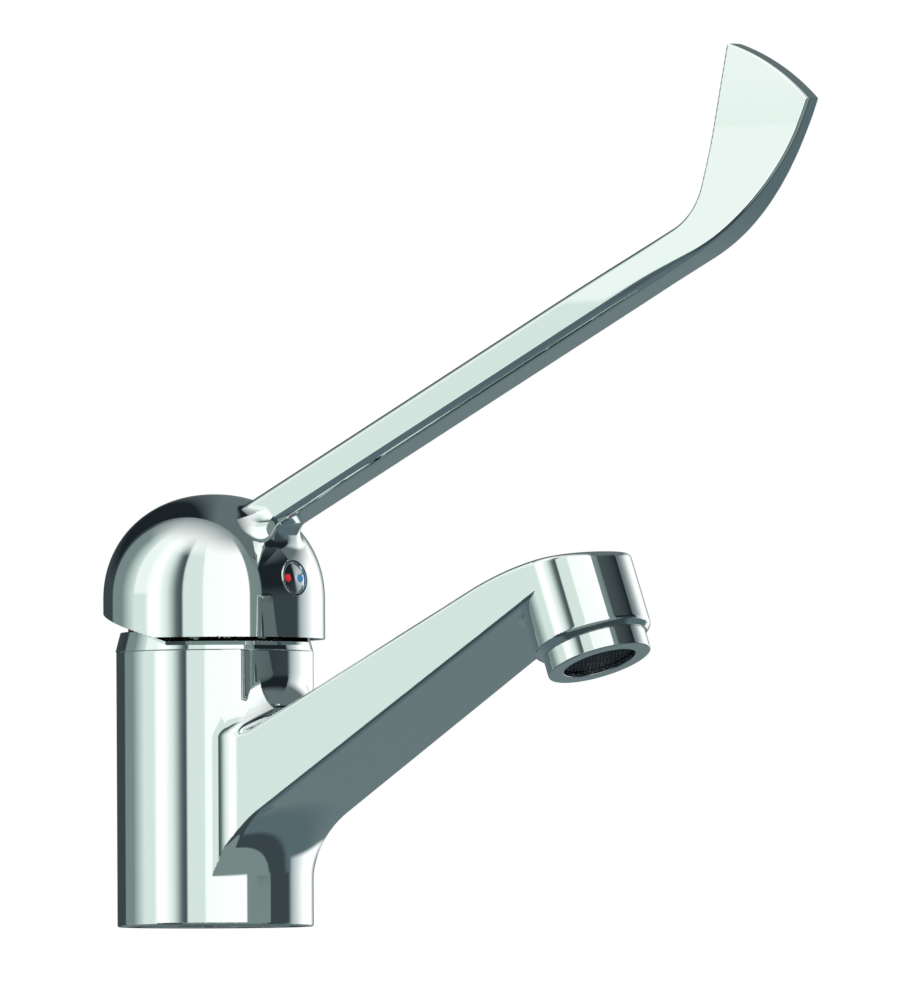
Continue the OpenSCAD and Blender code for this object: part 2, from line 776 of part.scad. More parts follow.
module hot_mark() {
    color("#e5252f") mark(hot);
}

module cold_mark() {
    color("#3f8fc4") mark(cold);
}

module aerator_housing() {
    color(chrome) along_spout() difference() {
        union() {
            on_outlet(-aerator_drop) cylinder(h = aerator_drop, r = aerator_d / 2);
            on_outlet(-eps) cylinder(h = aerator_thread_l + eps, r = thread_r - push_fit);
        }
        on_outlet(-aerator_drop - eps) cylinder(h = lip_t + 2 * eps, r = mesh_d / 2);
        on_outlet(-aerator_drop + lip_t)
            cylinder(h = aerator_drop + aerator_thread_l - lip_t + eps, r = housing_bore_r);
    }
}

module aerator_mesh() {
    wire = 0.5;
    count = floor(mesh_d / 2 / mesh_pitch);
    color("#303436") along_spout() on_outlet(-aerator_drop + lip_t) linear_extrude(mesh_t) difference() {
        circle(r = housing_bore_r - push_fit);
        for (i = [-count:count], j = [-count:count])
            if (norm([i, j]) * mesh_pitch < mesh_d / 2 - mesh_pitch / 2)
                translate([i, j] * mesh_pitch) square(mesh_pitch - wire, center = true);
    }
}

module aerator_insert() {
    jets = 8;
    jet_r = 1.2;
    hollow_depth = 3;
    rim_w = 1.5;
    depth = -aerator_drop + lip_t + mesh_t;
    height = aerator_thread_l - depth;
    color(black_plastic) along_spout() on_outlet(depth) difference() {
        cylinder(h = height, r = housing_bore_r - push_fit);
        translate([0, 0, -eps]) cylinder(h = hollow_depth + eps, r = housing_bore_r - rim_w);
        for (i = [0:jets - 1]) rotate([0, 0, i * 360 / jets])
            translate([housing_bore_r * 0.6, 0, 0]) cylinder(h = height + eps, r = jet_r);
    }
}

module aerator_gasket() {
    color(rubber) along_spout() on_outlet(aerator_thread_l)
        ring(thread_r - 2 * push_fit, outlet_chamber_r, gasket_seat_t, 0);
}

body_casting();
base_gasket();
trim_ring();
cartridge_nut();
cartridge_housing();
cartridge_base();
base_seal(hot);  // base_seal_hot
base_seal(cold);  // base_seal_cold
base_seal(0);  // base_seal_mixed
port_seal(hot);  // port_seal_hot
port_seal(cold);  // port_seal_cold
port_seal(0);  // port_seal_mixed
housing_ring_seal();
lower_ceramic_disc();
hot_limit_ring();
aerator_housing();
aerator_insert();
aerator_mesh();
aerator_gasket();
rotor();
pivot_pin();
stem();
lever_handle();
set_screw();
index_plug();
hot_mark();
cold_mark();
disc_carrier();
upper_ceramic_disc();
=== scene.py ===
"""Looks of the elbow lever tap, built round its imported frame.

Shapes are drawn in millimetres in the tap's side frame: u points along the spout, y across the
tap and z up. The curved castings are signed distance fields that are meshed by dual contouring.
"""
import json
import math

import bpy
import numpy as np
from mathutils import Matrix, Vector


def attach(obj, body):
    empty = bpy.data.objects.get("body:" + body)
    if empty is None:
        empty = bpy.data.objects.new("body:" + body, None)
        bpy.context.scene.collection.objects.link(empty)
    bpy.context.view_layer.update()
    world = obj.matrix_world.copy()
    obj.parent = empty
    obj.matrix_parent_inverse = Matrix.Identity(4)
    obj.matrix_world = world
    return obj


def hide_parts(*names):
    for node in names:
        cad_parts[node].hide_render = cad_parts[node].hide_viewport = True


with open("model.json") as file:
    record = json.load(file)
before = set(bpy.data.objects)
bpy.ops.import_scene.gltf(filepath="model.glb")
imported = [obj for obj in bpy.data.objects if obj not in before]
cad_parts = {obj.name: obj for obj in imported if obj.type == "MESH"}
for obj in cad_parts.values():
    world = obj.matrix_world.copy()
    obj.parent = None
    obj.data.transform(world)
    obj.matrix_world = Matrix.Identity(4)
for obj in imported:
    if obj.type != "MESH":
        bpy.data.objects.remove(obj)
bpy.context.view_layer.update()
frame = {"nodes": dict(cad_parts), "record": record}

MM = 0.001
TINY = 0.001

# Camera, in degrees, metres and, for the lens, millimetres
CAMERA_HEADING = 48.0
CAMERA_DISTANCE = 6.0
CAMERA_Z = -0.1047
CAMERA_YAW = 0.546
CAMERA_PITCH = 1.952
CAMERA_ROLL = 0.3
CAMERA_LENS = 1007.5
CAMERA_SENSOR = 36.0
CAMERA_CLIP = (0.5, 60.0)

# Body and spout, in millimetres and degrees
BODY_R = 23.0
BODY_H = 64.4
BODY_EDGE = 0.25
FOOT_EDGE = 0.5
SPOUT_TOP_Z = 34.4
SPOUT_LOW_Z = 10.1
SPOUT_FROM_U = 2.0
CROWN_START = (92.0, 76.4)
LOW_END = (105.0, 70.6)
SPOUT_HALF_W = 15.6
SPOUT_END_HALF_W = 13.95
TAPER_START = 20.5
TAPER_L = 97.8
SEAM_SLOPE = 0.03
SPOUT_EDGE = 0.9
ROOT_EDGE_GROWTH = 0.4
ROOT_EDGE_RISE = 8.0
SIDE_FILLET = 9.0
SIDE_FILLET_FADE = 5.0
TOP_FILLET = 9.0
TOP_CORNER_FILLET = 4.5
TOP_FILLET_FLAT = 8.0
FILLET_FOOT_Z = 11.8
LEAST_RISE = 0.5
EDGE_CLEAR = 0.02
LOW_EDGE = 1.0

# Outlet
OUTLET = (118.3, 63.4)
OUTLET_TILT = 21.0
OUTLET_R = 14.0
OUTLET_L = 17.8
OUTLET_EDGE = 1.1
OUTLET_CHAMFER = 1.3
CHAMFER_EDGE = 0.3
OUTLET_FILLET = 1.6
OUTLET_FILLET_END = 12.0
OUTLET_FILLET_FADE = 3.0

# Bores of the casting: centre u and y, radius, low and high ends; OVER_Z and UNDER_Z lie outside it
OVER_Z = 90.0
UNDER_Z = -5.0
CARTRIDGE_BORES = ((0.0, 0.0, 17.6, 33.0, OVER_Z), (0.0, 0.0, 19.0, 58.0, OVER_Z))
STUD_BORES = ((0.0, 0.0, 3.4, UNDER_Z, 10.0),)
HOSE_BORES = ((3.0, -10.5, 4.5, UNDER_Z, 14.0), (3.0, 10.5, 4.5, UNDER_Z, 14.0))
SUPPLY_WAYS = ((5.5, -7.5, 2.8, 13.0, 34.0), (5.5, 7.5, 2.8, 13.0, 34.0))
MIXED_WAYS = ((-4.5, 0.0, 2.8, 14.6, 34.0),)
UPRIGHT_BORES = CARTRIDGE_BORES + STUD_BORES + HOSE_BORES + SUPPLY_WAYS + MIXED_WAYS
GASKET_GROOVE_R = 19.2
GASKET_GROOVE_HALF_W = 1.5
GASKET_GROOVE_H = 2.0
SPOUT_WAY_ROOT = (17.6, 27.0)
SPOUT_WAY_ANGLE = 29.28
SPOUT_WAY_R = 3.5
SPOUT_WAY_ENDS = (-25.3, 101.0)
OUTLET_BORES = ((12.0, UNDER_Z, 9.1), (8.5, 9.0, 17.0))  # radius and ends along the outlet's axis

# Cap
CAP_R = 26.0
CAP_Z = 67.3
CAP_EDGE = 0.25
CAP_WALL = 1.8
DOME_Z = 76.6
DOME_H = 24.8
DOME_WALL = 2.6
DOME_POWER = 2.1
RIM_RELIEF_U = 4.0
RIM_RELIEF_ANGLE = -15.0
POST_R = 8.0
POST_ENDS = (74.0, 98.0)
POST_FILLET = 0.8
STEM_SLOT = ((-4.1, -3.1, 60.0), (4.1, 3.1, 89.0))

# Arm and paddle; the edges and the thickness change smoothly between the two
ARM_W = 11.0
ARM_T = 8.7
ARM_ANGLE = 24.5
ARM_AXIS_Z = 87.3
ARM_START = 6.0
BEND_REACH = 152.6
BEND_R = 13.6
SWEEP_SETBACK = 4.4
PADDLE_L = 40.7
PADDLE_LEAN = 77.3
PADDLE_W = 28.3
PADDLE_FALL = 29.2
PADDLE_BASE_Z = 175.0
PADDLE_CORNER = 1.5
PADDLE_THINNER = 3.45
THINNING_Z = 142.0
THINNING_H = 40.0
TOP_ARC_R = 62.0
TOP_EDGE = 0.7
CRISP_START = 148.0
CRISP_RUN = 30.0
BACK_EDGE, BACK_EDGE_LOSS = 1.3, 0.75
FRONT_EDGE, FRONT_EDGE_LOSS = 2.3, 1.5
ROOT_FACING = 0.35
ROOT_HEIGHTS = (-1, 0.1, 1)
ROOT_FILLETS = (3.6, 5.2, 2.0)

# Trim ring: radii and height
TRIM_H = 4.6
TRIM_BORE_R = 19.0
TRIM_LOW_R = 23.2
TRIM_TOP_R = 22.0

# Set screw and index plug, measured along their common axis
SCREW_AXIS_Z = 77.85
SCREW_BORE_R = 2.5
SCREW_BOSS_R = 5.4
SCREW_BOSS_START = 4.0
SCREW_BOSS_SHORT = 1.0
PLUG_TILT = 7.5
PLUG_RUN = 25.67
PLUG_R = 4.0
PLUG_DEPTH = 4.5
PLUG_BORE_R = 4.1
PLUG_BORE_DEPTH = 4.6
PLUG_BORE_OVER = 8.0
PLUG_LIP = 0.12
PLUG_LIP_R = 4.24
PLUG_LIP_DEPTH = 0.4
PLUG_FACE_R = 3.75
PLUG_FACE_LOW_R = 3.6
PLUG_FACE_DEPTH = 0.42
PLUG_FACE_TOP = 0.1
DOT_R = 0.95
DOT_OFFSET = 2.1
DOT_DEPTH = 0.4
DOT_EDGE_DEPTH = 0.1
DOT_TOP_DEPTH = 0.06
AXIS_R = 0.0005

# Aerator
AERATOR_R = 12.3
AERATOR_DROP = 4.6
AERATOR_GAP = 0.02
AERATOR_SHANK_R = 11.9
AERATOR_SHANK_H = 7.5
AERATOR_BORE_R = 10.3
AERATOR_LIP_H = 1.2
MESH_R = 8.6
MESH_RIM = 0.2
MESH_RISE = 0.4
WIRE_PITCH = 0.9
WIRE_R = 0.15
WIRE_WAVE = 0.16
WIRE_STEPS = 4

# Meshing: grid step, the boxes that hold the two castings, and the settings of the mesher
MESH_STEP = 0.35
BODY_BOX = ((-24.53, -25.53, -1.23), (134.0, 25.5, 88.0))
LEVER_BOX = ((-27.53, -27.53, 65.53), (189.0, 27.5, 204.0))
BLOCK = 8
BLOCK_REACH = 1.15
BLOCKS_AT_ONCE = 500
POINTS_AT_ONCE = 400000
GRADIENT_STEP = 0.02
EDGE_ROUNDS = 4
EDGE_MARGIN = 0.02
CORNER_PULL = 0.02
SMOOTH_ABOVE = 0.95
LARGEST_NUDGE = 0.2
CORNER_INSET = 0.3
CORNER_STEPS = 5
TURN_SEGMENTS = 160
DOT_SEGMENTS = 48
WIRE_SIDES = 6

# Studio: the screen's size, turn and gain, the floor, and the lamp, in metres, degrees and watts
SCREEN_R = 3.0
SCREEN_ROWS, SCREEN_COLS = 24, 48
SCREEN_TURN = 222.0
SCREEN_GAIN = 1.2
FLOOR_HALF = 20.0
FLOOR_Z = -0.0006
WORLD_LIGHT = 0.75
LAMP_SIZE = 1.4
LAMP_POWER = 22.0
LAMP_PLACE = (-1.3, -1.1, 2.2)


def cosd(angle):
    return math.cos(math.radians(angle))


def sind(angle):
    return math.sin(math.radians(angle))


# Camera

def make_camera():
    """The photograph's view: from the hot side and the front, from slightly below the deck."""
    heading, yaw, pitch, roll = (math.radians(a) for a in (
        CAMERA_HEADING, CAMERA_YAW, CAMERA_PITCH, CAMERA_ROLL))
    base = Vector((-math.sin(heading) * CAMERA_DISTANCE, -math.cos(heading) * CAMERA_DISTANCE, CAMERA_Z))
    turn = heading + yaw
    forward = Vector((math.sin(turn) * math.cos(pitch), math.cos(turn) * math.cos(pitch),
                      math.sin(pitch)))
    right = Vector((math.cos(turn), -math.sin(turn), 0))
    up = right.cross(forward)
    right_rolled = right * math.cos(roll) - up * math.sin(roll)
    up_rolled = right * math.sin(roll) + up * math.cos(roll)
    data = bpy.data.cameras.new("photo_camera")
    data.sensor_fit = "HORIZONTAL"
    data.sensor_width = CAMERA_SENSOR
    data.lens = CAMERA_LENS
    data.clip_start, data.clip_end = CAMERA_CLIP
    camera = bpy.data.objects.new("photo_camera", data)
    axes = Matrix((right_rolled, up_rolled, -forward)).transposed().to_4x4()
    camera.matrix_world = Matrix.Translation(base) @ axes
    bpy.context.scene.collection.objects.link(camera)
    bpy.context.scene.camera = camera


# Signed distance helpers

def union_round(a, b, r):
    return np.maximum(r, np.minimum(a, b)) - np.hypot(np.maximum(r - a, 0), np.maximum(r - b, 0))


def union_fillet(a, b, c, r):
    """Union with a true round fillet; c is the cosine between the two surfaces' normals."""
    p, q = r - a, r - b
    circle = r - np.sqrt(np.maximum(p * p + q * q - 2 * c * p * q, 0) / np.maximum(1 - c * c, TINY))
    return np.where((p - c * q > 0) & (q - c * p > 0), circle, np.minimum(a, b))


def cut_round(a, b, r):
    return np.minimum(-r, np.maximum(a, b)) + np.hypot(np.maximum(r + a, 0), np.maximum(r + b, 0))


def above(u, z, point, angle):
    """Distance above the line through a point that rises at an angle."""
    return (z - point[1]) * cosd(angle) - (u - point[0]) * sind(angle)


def along(u, z, point, angle):
    return (u - point[0]) * cosd(angle) + (z - point[1]) * sind(angle)


# Body

TOP_ANGLE = math.degrees(math.atan2(CROWN_START[1] - SPOUT_TOP_Z, CROWN_START[0]))
LOW_ANGLE = math.degrees(math.atan2(LOW_END[1] - SPOUT_LOW_Z, LOW_END[0]))


def crown_circle():
    """Centre and radius of the crown, which leaves the top line smoothly and ends at the outlet's front."""
    end_u = OUTLET[0] + OUTLET_R * cosd(OUTLET_TILT) - OUTLET_L * sind(OUTLET_TILT)
    end_z = OUTLET[1] + OUTLET_R * sind(OUTLET_TILT) + OUTLET_L * cosd(OUTLET_TILT)
    chord_u, chord_z = end_u - CROWN_START[0], end_z - CROWN_START[1]
    drop = chord_u * sind(TOP_ANGLE) - chord_z * cosd(TOP_ANGLE)
    r = (chord_u ** 2 + chord_z ** 2) / (2 * drop)
    return CROWN_START[0] + r * sind(TOP_ANGLE), CROWN_START[1] - r * cosd(TOP_ANGLE), r


CROWN = crown_circle()


def spout_top(u, z):
    line = above(u, z, CROWN_START, TOP_ANGLE)
    arc = np.hypot(u - CROWN[0], z - CROWN[1]) - CROWN[2]
    return np.where(along(u, z, CROWN_START, TOP_ANGLE) > 0, arc, line)


def outlet_axes(u, y, z):
    """Height along the outlet's axis, distance in front of it and distance from it."""
    t = above(u, z, OUTLET, OUTLET_TILT)
    front = along(u, z, OUTLET, OUTLET_TILT)
    return t, front, np.hypot(front, y)


def tube(axis_distance, height, r, low, high):
    return np.maximum(axis_distance - r, np.maximum(low - height, height - high))


def casting_bores(u, y, z):
    """Everything that is drilled or turned out of the casting."""
    t, _, outlet_axis = outlet_axes(u, y, z)
    bores = np.maximum(np.abs(np.hypot(u, y) - GASKET_GROOVE_R) - GASKET_GROOVE_HALF_W, z - GASKET_GROOVE_H)
    for centre_u, centre_y, r, low, high in UPRIGHT_BORES:
        bores = np.minimum(bores, tube(np.hypot(u - centre_u, y - centre_y), z, r, low, high))
    run = along(u, z, SPOUT_WAY_ROOT, SPOUT_WAY_ANGLE)
    lift = above(u, z, SPOUT_WAY_ROOT, SPOUT_WAY_ANGLE)
    bores = np.minimum(bores, tube(np.hypot(lift, y), run, SPOUT_WAY_R, *SPOUT_WAY_ENDS))
    for r, low, high in OUTLET_BORES:
        bores = np.minimum(bores, tube(outlet_axis, t, r, low, high))
    return bores


def spout_upper(u, y, barrel, top, side, front):
    """The spout's top and sides, with their fillets to the barrel."""
    rho = np.maximum(np.hypot(u, y), TINY)
    roof_r = np.interp(np.abs(y), [TOP_FILLET_FLAT, SPOUT_HALF_W], [TOP_FILLET, TOP_CORNER_FILLET])
    roof = union_fillet(top, barrel, -sind(TOP_ANGLE) * np.clip(u / rho, 0, 1), roof_r)
    edge = SPOUT_EDGE + ROOT_EDGE_GROWTH * np.clip(top, 0, ROOT_EDGE_RISE)
    slab = np.maximum(cut_round(roof, side, edge), front)
    share = np.clip(1.0 + (side - roof) / SIDE_FILLET_FADE, 0, 1)
    upper = union_fillet(slab, barrel, np.abs(y) / rho, np.maximum(SIDE_FILLET * share, 0.01))
    return np.where(u > SPOUT_FROM_U, upper, barrel)


def spout_lower(u, y, barrel, low):
    """The spout's underside, whose fillet starts at one height all round the barrel."""
    ahead = np.clip(u / np.maximum(np.hypot(u, y), TINY), 0, 1)
    facing = sind(LOW_ANGLE) * ahead
    rise = SPOUT_LOW_Z + BODY_R * ahead * math.tan(math.radians(LOW_ANGLE)) - FILLET_FOOT_Z
    r = np.maximum(rise, LEAST_RISE) / np.sqrt((1 - facing) / (1 + facing))
    return np.where(u > SPOUT_FROM_U, union_fillet(low, barrel, facing, r), barrel)


def body_field(u, y, z):
    barrel = cut_round(np.hypot(u, y) - BODY_R, z - BODY_H, BODY_EDGE)
    top = spout_top(u, z)
    t, front, outlet_axis = outlet_axes(u, y, z)
    half_w = SPOUT_HALF_W - (u - TAPER_START) * (SPOUT_HALF_W - SPOUT_END_HALF_W) / TAPER_L
    side = np.abs(y) - np.minimum(half_w, SPOUT_END_HALF_W - SEAM_SLOPE * front)
    upper = spout_upper(u, y, barrel, top, side, front)
    lower = spout_lower(u, y, barrel, -above(u, z, (0, SPOUT_LOW_Z), LOW_ANGLE))
    body = np.maximum(upper, lower)
    apart = np.clip(barrel - body - EDGE_CLEAR, 0, LOW_EDGE)
    body = np.where(apart > 0, cut_round(upper, lower, apart), body)
    outlet = cut_round(outlet_axis - OUTLET_R, top, OUTLET_EDGE)
    chamfer = (outlet_axis - OUTLET_R + OUTLET_CHAMFER - t) * cosd(45)
    outlet = np.maximum(cut_round(outlet, chamfer, CHAMFER_EDGE), -t)
    facing = sind(LOW_ANGLE - OUTLET_TILT) * front / np.maximum(outlet_axis, TINY)
    fade = np.clip((OUTLET_FILLET_END - np.abs(y)) / OUTLET_FILLET_FADE, TINY, 1)
    body = union_fillet(body, outlet, facing, OUTLET_FILLET * fade)
    body = cut_round(body, -z, FOOT_EDGE)
    return np.maximum(body, -casting_bores(u, y, z))


# Lever

ARM_ROOT = (0.0, ARM_AXIS_Z)
BEND = (BEND_REACH, ARM_AXIS_Z + BEND_REACH * math.tan(math.radians(ARM_ANGLE))
        + ARM_T / 2 / cosd(ARM_ANGLE))
PADDLE_IN = (BEND[0] + PADDLE_L * cosd(PADDLE_LEAN), BEND[1] + PADDLE_L * sind(PADDLE_LEAN))
PADDLE_OUT = (PADDLE_IN[0] + PADDLE_W * cosd(PADDLE_FALL), PADDLE_IN[1] - PADDLE_W * sind(PADDLE_FALL))
SWEEP_START = (BEND[0] - SWEEP_SETBACK * cosd(ARM_ANGLE) + ARM_T * sind(ARM_ANGLE),
               BEND[1] - SWEEP_SETBACK * sind(ARM_ANGLE) - ARM_T * cosd(ARM_ANGLE))


def sweep_circle():
    """Centre and radius of the outer curve, from a smooth start on the arm to the paddle's corner."""
    chord_u, chord_z = PADDLE_OUT[0] - SWEEP_START[0], PADDLE_OUT[1] - SWEEP_START[1]
    r = (chord_u ** 2 + chord_z ** 2) / (2 * (chord_z * cosd(ARM_ANGLE) - chord_u * sind(ARM_ANGLE)))
    return SWEEP_START[0] - r * sind(ARM_ANGLE), SWEEP_START[1] + r * cosd(ARM_ANGLE), r


SWEEP = sweep_circle()


def superellipse(r, h, a, b):
    """Near distance to an upright dome of half width a and height b, on an endless wall below it."""
    n = DOME_POWER
    least = 1e-6
    hp = np.maximum(h, 0) / b
    rp = np.maximum(r, least) / a
    q = np.maximum((rp ** n + hp ** n) ** (1 / n), least)
    slope = q ** (1 - n) * np.hypot(rp ** (n - 1) / a, hp ** (n - 1) / b)
    return np.where(h < 0, r - a, (q - 1) / np.maximum(slope, least))


def paddle_outline(u, z):
    """Distances in the side plane to the lever's outline, and to its back, front and top alone."""
    arm_top = above(u, z, BEND, ARM_ANGLE)
    inner = above(u, z, BEND, PADDLE_LEAN)
    leg = BEND_R * math.tan(math.radians((PADDLE_LEAN - ARM_ANGLE) / 2))
    cu = BEND[0] - leg * cosd(ARM_ANGLE) - BEND_R * sind(ARM_ANGLE)
    cz = BEND[1] - leg * sind(ARM_ANGLE) + BEND_R * cosd(ARM_ANGLE)
    sector = (along(u, z, (cu, cz), ARM_ANGLE) > 0) & (along(u, z, (cu, cz), PADDLE_LEAN) < 0)
    hollow = BEND_R - np.hypot(u - cu, z - cz)
    back = np.where(sector, hollow, np.minimum(arm_top, inner))
    low_line = -above(u, z, SWEEP_START, ARM_ANGLE)
    sweep = np.hypot(u - SWEEP[0], z - SWEEP[1]) - SWEEP[2]
    front = np.where(along(u, z, SWEEP_START, ARM_ANGLE) > 0, sweep, low_line)
    middle = ((PADDLE_IN[0] + PADDLE_OUT[0]) / 2, (PADDLE_IN[1] + PADDLE_OUT[1]) / 2)
    drop = math.sqrt(TOP_ARC_R ** 2 - (PADDLE_W / 2) ** 2)
    top = np.hypot(u - middle[0] + drop * sind(PADDLE_FALL),
                   z - middle[1] + drop * cosd(PADDLE_FALL)) - TOP_ARC_R
    top = np.minimum(top, z - PADDLE_BASE_Z)
    return np.maximum(cut_round(back, top, PADDLE_CORNER), front), back, front, top


def smooth_step(value, start, run):
    t = np.clip((value - start) / run, 0, 1)
    return t * t * (3 - 2 * t)


def arm_field(u, y, z):
    """The arm, the bend and the paddle, whose edges get crisper from the bend on."""
    outline, back, front, top = paddle_outline(u, z)
    side = np.abs(y) - (ARM_W / 2 - PADDLE_THINNER * smooth_step(z, THINNING_Z, THINNING_H))
    run = along(u, z, ARM_ROOT, ARM_ANGLE)
    crisp = smooth_step(run, CRISP_START, CRISP_RUN)
    blade = np.maximum(cut_round(side, back, BACK_EDGE - BACK_EDGE_LOSS * crisp),
                       cut_round(side, front, FRONT_EDGE - FRONT_EDGE_LOSS * crisp))
    blade = np.maximum(blade, cut_round(side, top, TOP_EDGE))
    return np.maximum(np.maximum(blade, outline), ARM_START - run)


def screw_axes(u, y, z):
    origin = (0.0, SCREW_AXIS_Z)
    return along(u, z, origin, PLUG_TILT), np.hypot(above(u, z, origin, PLUG_TILT), y)


def box_field(u, y, z, low, high):
    """Near distance to an upright box between two corners."""
    q = [np.abs(v - (a + b) / 2) - (b - a) / 2 for v, a, b in zip((u, y, z), low, high)]
    return np.maximum(np.maximum(q[0], q[1]), q[2])


def lever_field(u, y, z):
    axis = np.hypot(u, y)
    dome = superellipse(axis, z - DOME_Z, CAP_R, DOME_H)
    slope = np.clip(above(u, z, ARM_ROOT, ARM_ANGLE) / (ARM_T / 2), -1, 1)
    outer = union_fillet(dome, arm_field(u, y, z), ROOT_FACING * slope,
                         np.interp(slope, ROOT_HEIGHTS, ROOT_FILLETS))
    rim = np.maximum(CAP_Z - z, -above(u, z, (RIM_RELIEF_U, CAP_Z), RIM_RELIEF_ANGLE))
    outer = cut_round(outer, rim, CAP_EDGE)
    hollow = superellipse(axis, z - DOME_Z, CAP_R - CAP_WALL, DOME_H - DOME_WALL)
    run, screw_axis = screw_axes(u, y, z)
    boss = tube(screw_axis, run, SCREW_BOSS_R, SCREW_BOSS_START, PLUG_RUN - SCREW_BOSS_SHORT)
    post = np.minimum(tube(axis, z, POST_R, *POST_ENDS), boss)
    inside = np.maximum(union_round(post, -hollow, POST_FILLET), dome)
    solid = np.minimum(np.maximum(outer, -hollow), inside)
    cuts = box_field(u, y, z, *STEM_SLOT)
    cuts = np.minimum(cuts, tube(screw_axis, run, SCREW_BORE_R, 0.0, PLUG_RUN))
    cuts = np.minimum(cuts, tube(screw_axis, run, PLUG_BORE_R, PLUG_RUN - PLUG_BORE_DEPTH,
                                 PLUG_RUN + PLUG_BORE_OVER))
    return np.maximum(np.maximum(solid, rim), -cuts)


# Dual contouring

def evaluate(field, points):
    out = np.empty(len(points))
    for i in range(0, len(points), POINTS_AT_ONCE):
        p = points[i:i + POINTS_AT_ONCE]
        out[i:i + POINTS_AT_ONCE] = field(p[:, 0], p[:, 1], p[:, 2])
    return out


def gradient(field, points):
    """Unit gradients from four probes round each point."""
    total = np.zeros_like(points)
    for k in ((1, -1, -1), (-1, -1, 1), (-1, 1, -1), (1, 1, 1)):
        total += np.outer(evaluate(field, points + GRADIENT_STEP * np.array(k)), k)
    return total / np.maximum(np.linalg.norm(total, axis=1, keepdims=True), 1e-12)


def near_blocks(field, low, high, step):
    """Blocks of grid cells that may hold some of the surface, and the counts of blocks each way."""
    counts = np.ceil((high - low) / (BLOCK * step)).astype(int)
    cells = np.indices(counts).reshape(3, -1).T
    distance = evaluate(field, low + (cells + 0.5) * BLOCK * step)
    return cells[np.abs(distance) < BLOCK * step * BLOCK_REACH], counts


def crossings(field, low, high, step):
    """Grid edges that the surface crosses: start, axis, the values at both ends, and the grid's size."""
    blocks, counts = near_blocks(field, low, high, step)
    dims = counts * BLOCK + 1
    g = np.arange(BLOCK + 1)
    offsets = np.stack(np.meshgrid(g, g, g, indexing="ij"), -1).reshape(-1, 3)
    found = []
    for part in np.array_split(blocks, max(1, len(blocks) // BLOCKS_AT_ONCE)):
        grid = part[:, None, :] * BLOCK + offsets[None]
        values = evaluate(field, low + grid.reshape(-1, 3) * step)
        values = values.reshape((len(part),) + (BLOCK + 1,) * 3)
        grid = grid.reshape(values.shape + (3,))
        for axis in range(3):
            first = [slice(None)] * 4
            second = [slice(None)] * 4
            first[axis + 1], second[axis + 1] = slice(0, BLOCK), slice(1, BLOCK + 1)
            a, b = values[tuple(first)], values[tuple(second)]
            crossed = (a < 0) != (b < 0)
            starts = grid[tuple(first)][crossed]
            found.append(np.column_stack((starts, np.full(len(starts), axis), a[crossed], b[crossed])))
    found = np.concatenate(found)
    start = found[:, :3].astype(np.int64)
    axis = found[:, 3].astype(np.int64)
    key = ((start[:, 0] * dims[1] + start[:, 1]) * dims[2] + start[:, 2]) * 3 + axis
    _, first_of = np.unique(key, return_index=True)
    return start[first_of], axis[first_of], found[first_of, 4], found[first_of, 5], dims


def edge_points(field, low, step, start, axis, a, b):
    """Where the surface crosses each edge, by a few steps of false position."""
    p0 = low + start * step
    direction = np.eye(3)[axis] * step
    t0, t1 = np.zeros(len(a)), np.ones(len(a))
    fa, fb = a.copy(), b.copy()
    for _ in range(EDGE_ROUNDS):
        t = t0 + (t1 - t0) * np.clip(fa / (fa - fb), EDGE_MARGIN, 1 - EDGE_MARGIN)
        value = evaluate(field, p0 + direction * t[:, None])
        low_side = (value < 0) == (fa < 0)
        t0, fa = np.where(low_side, t, t0), np.where(low_side, value, fa)
        t1, fb = np.where(low_side, t1, t), np.where(low_side, fb, value)
    t = t0 + (t1 - t0) * np.clip(fa / (fa - fb), 0.0, 1.0)
    return p0 + direction * t[:, None]


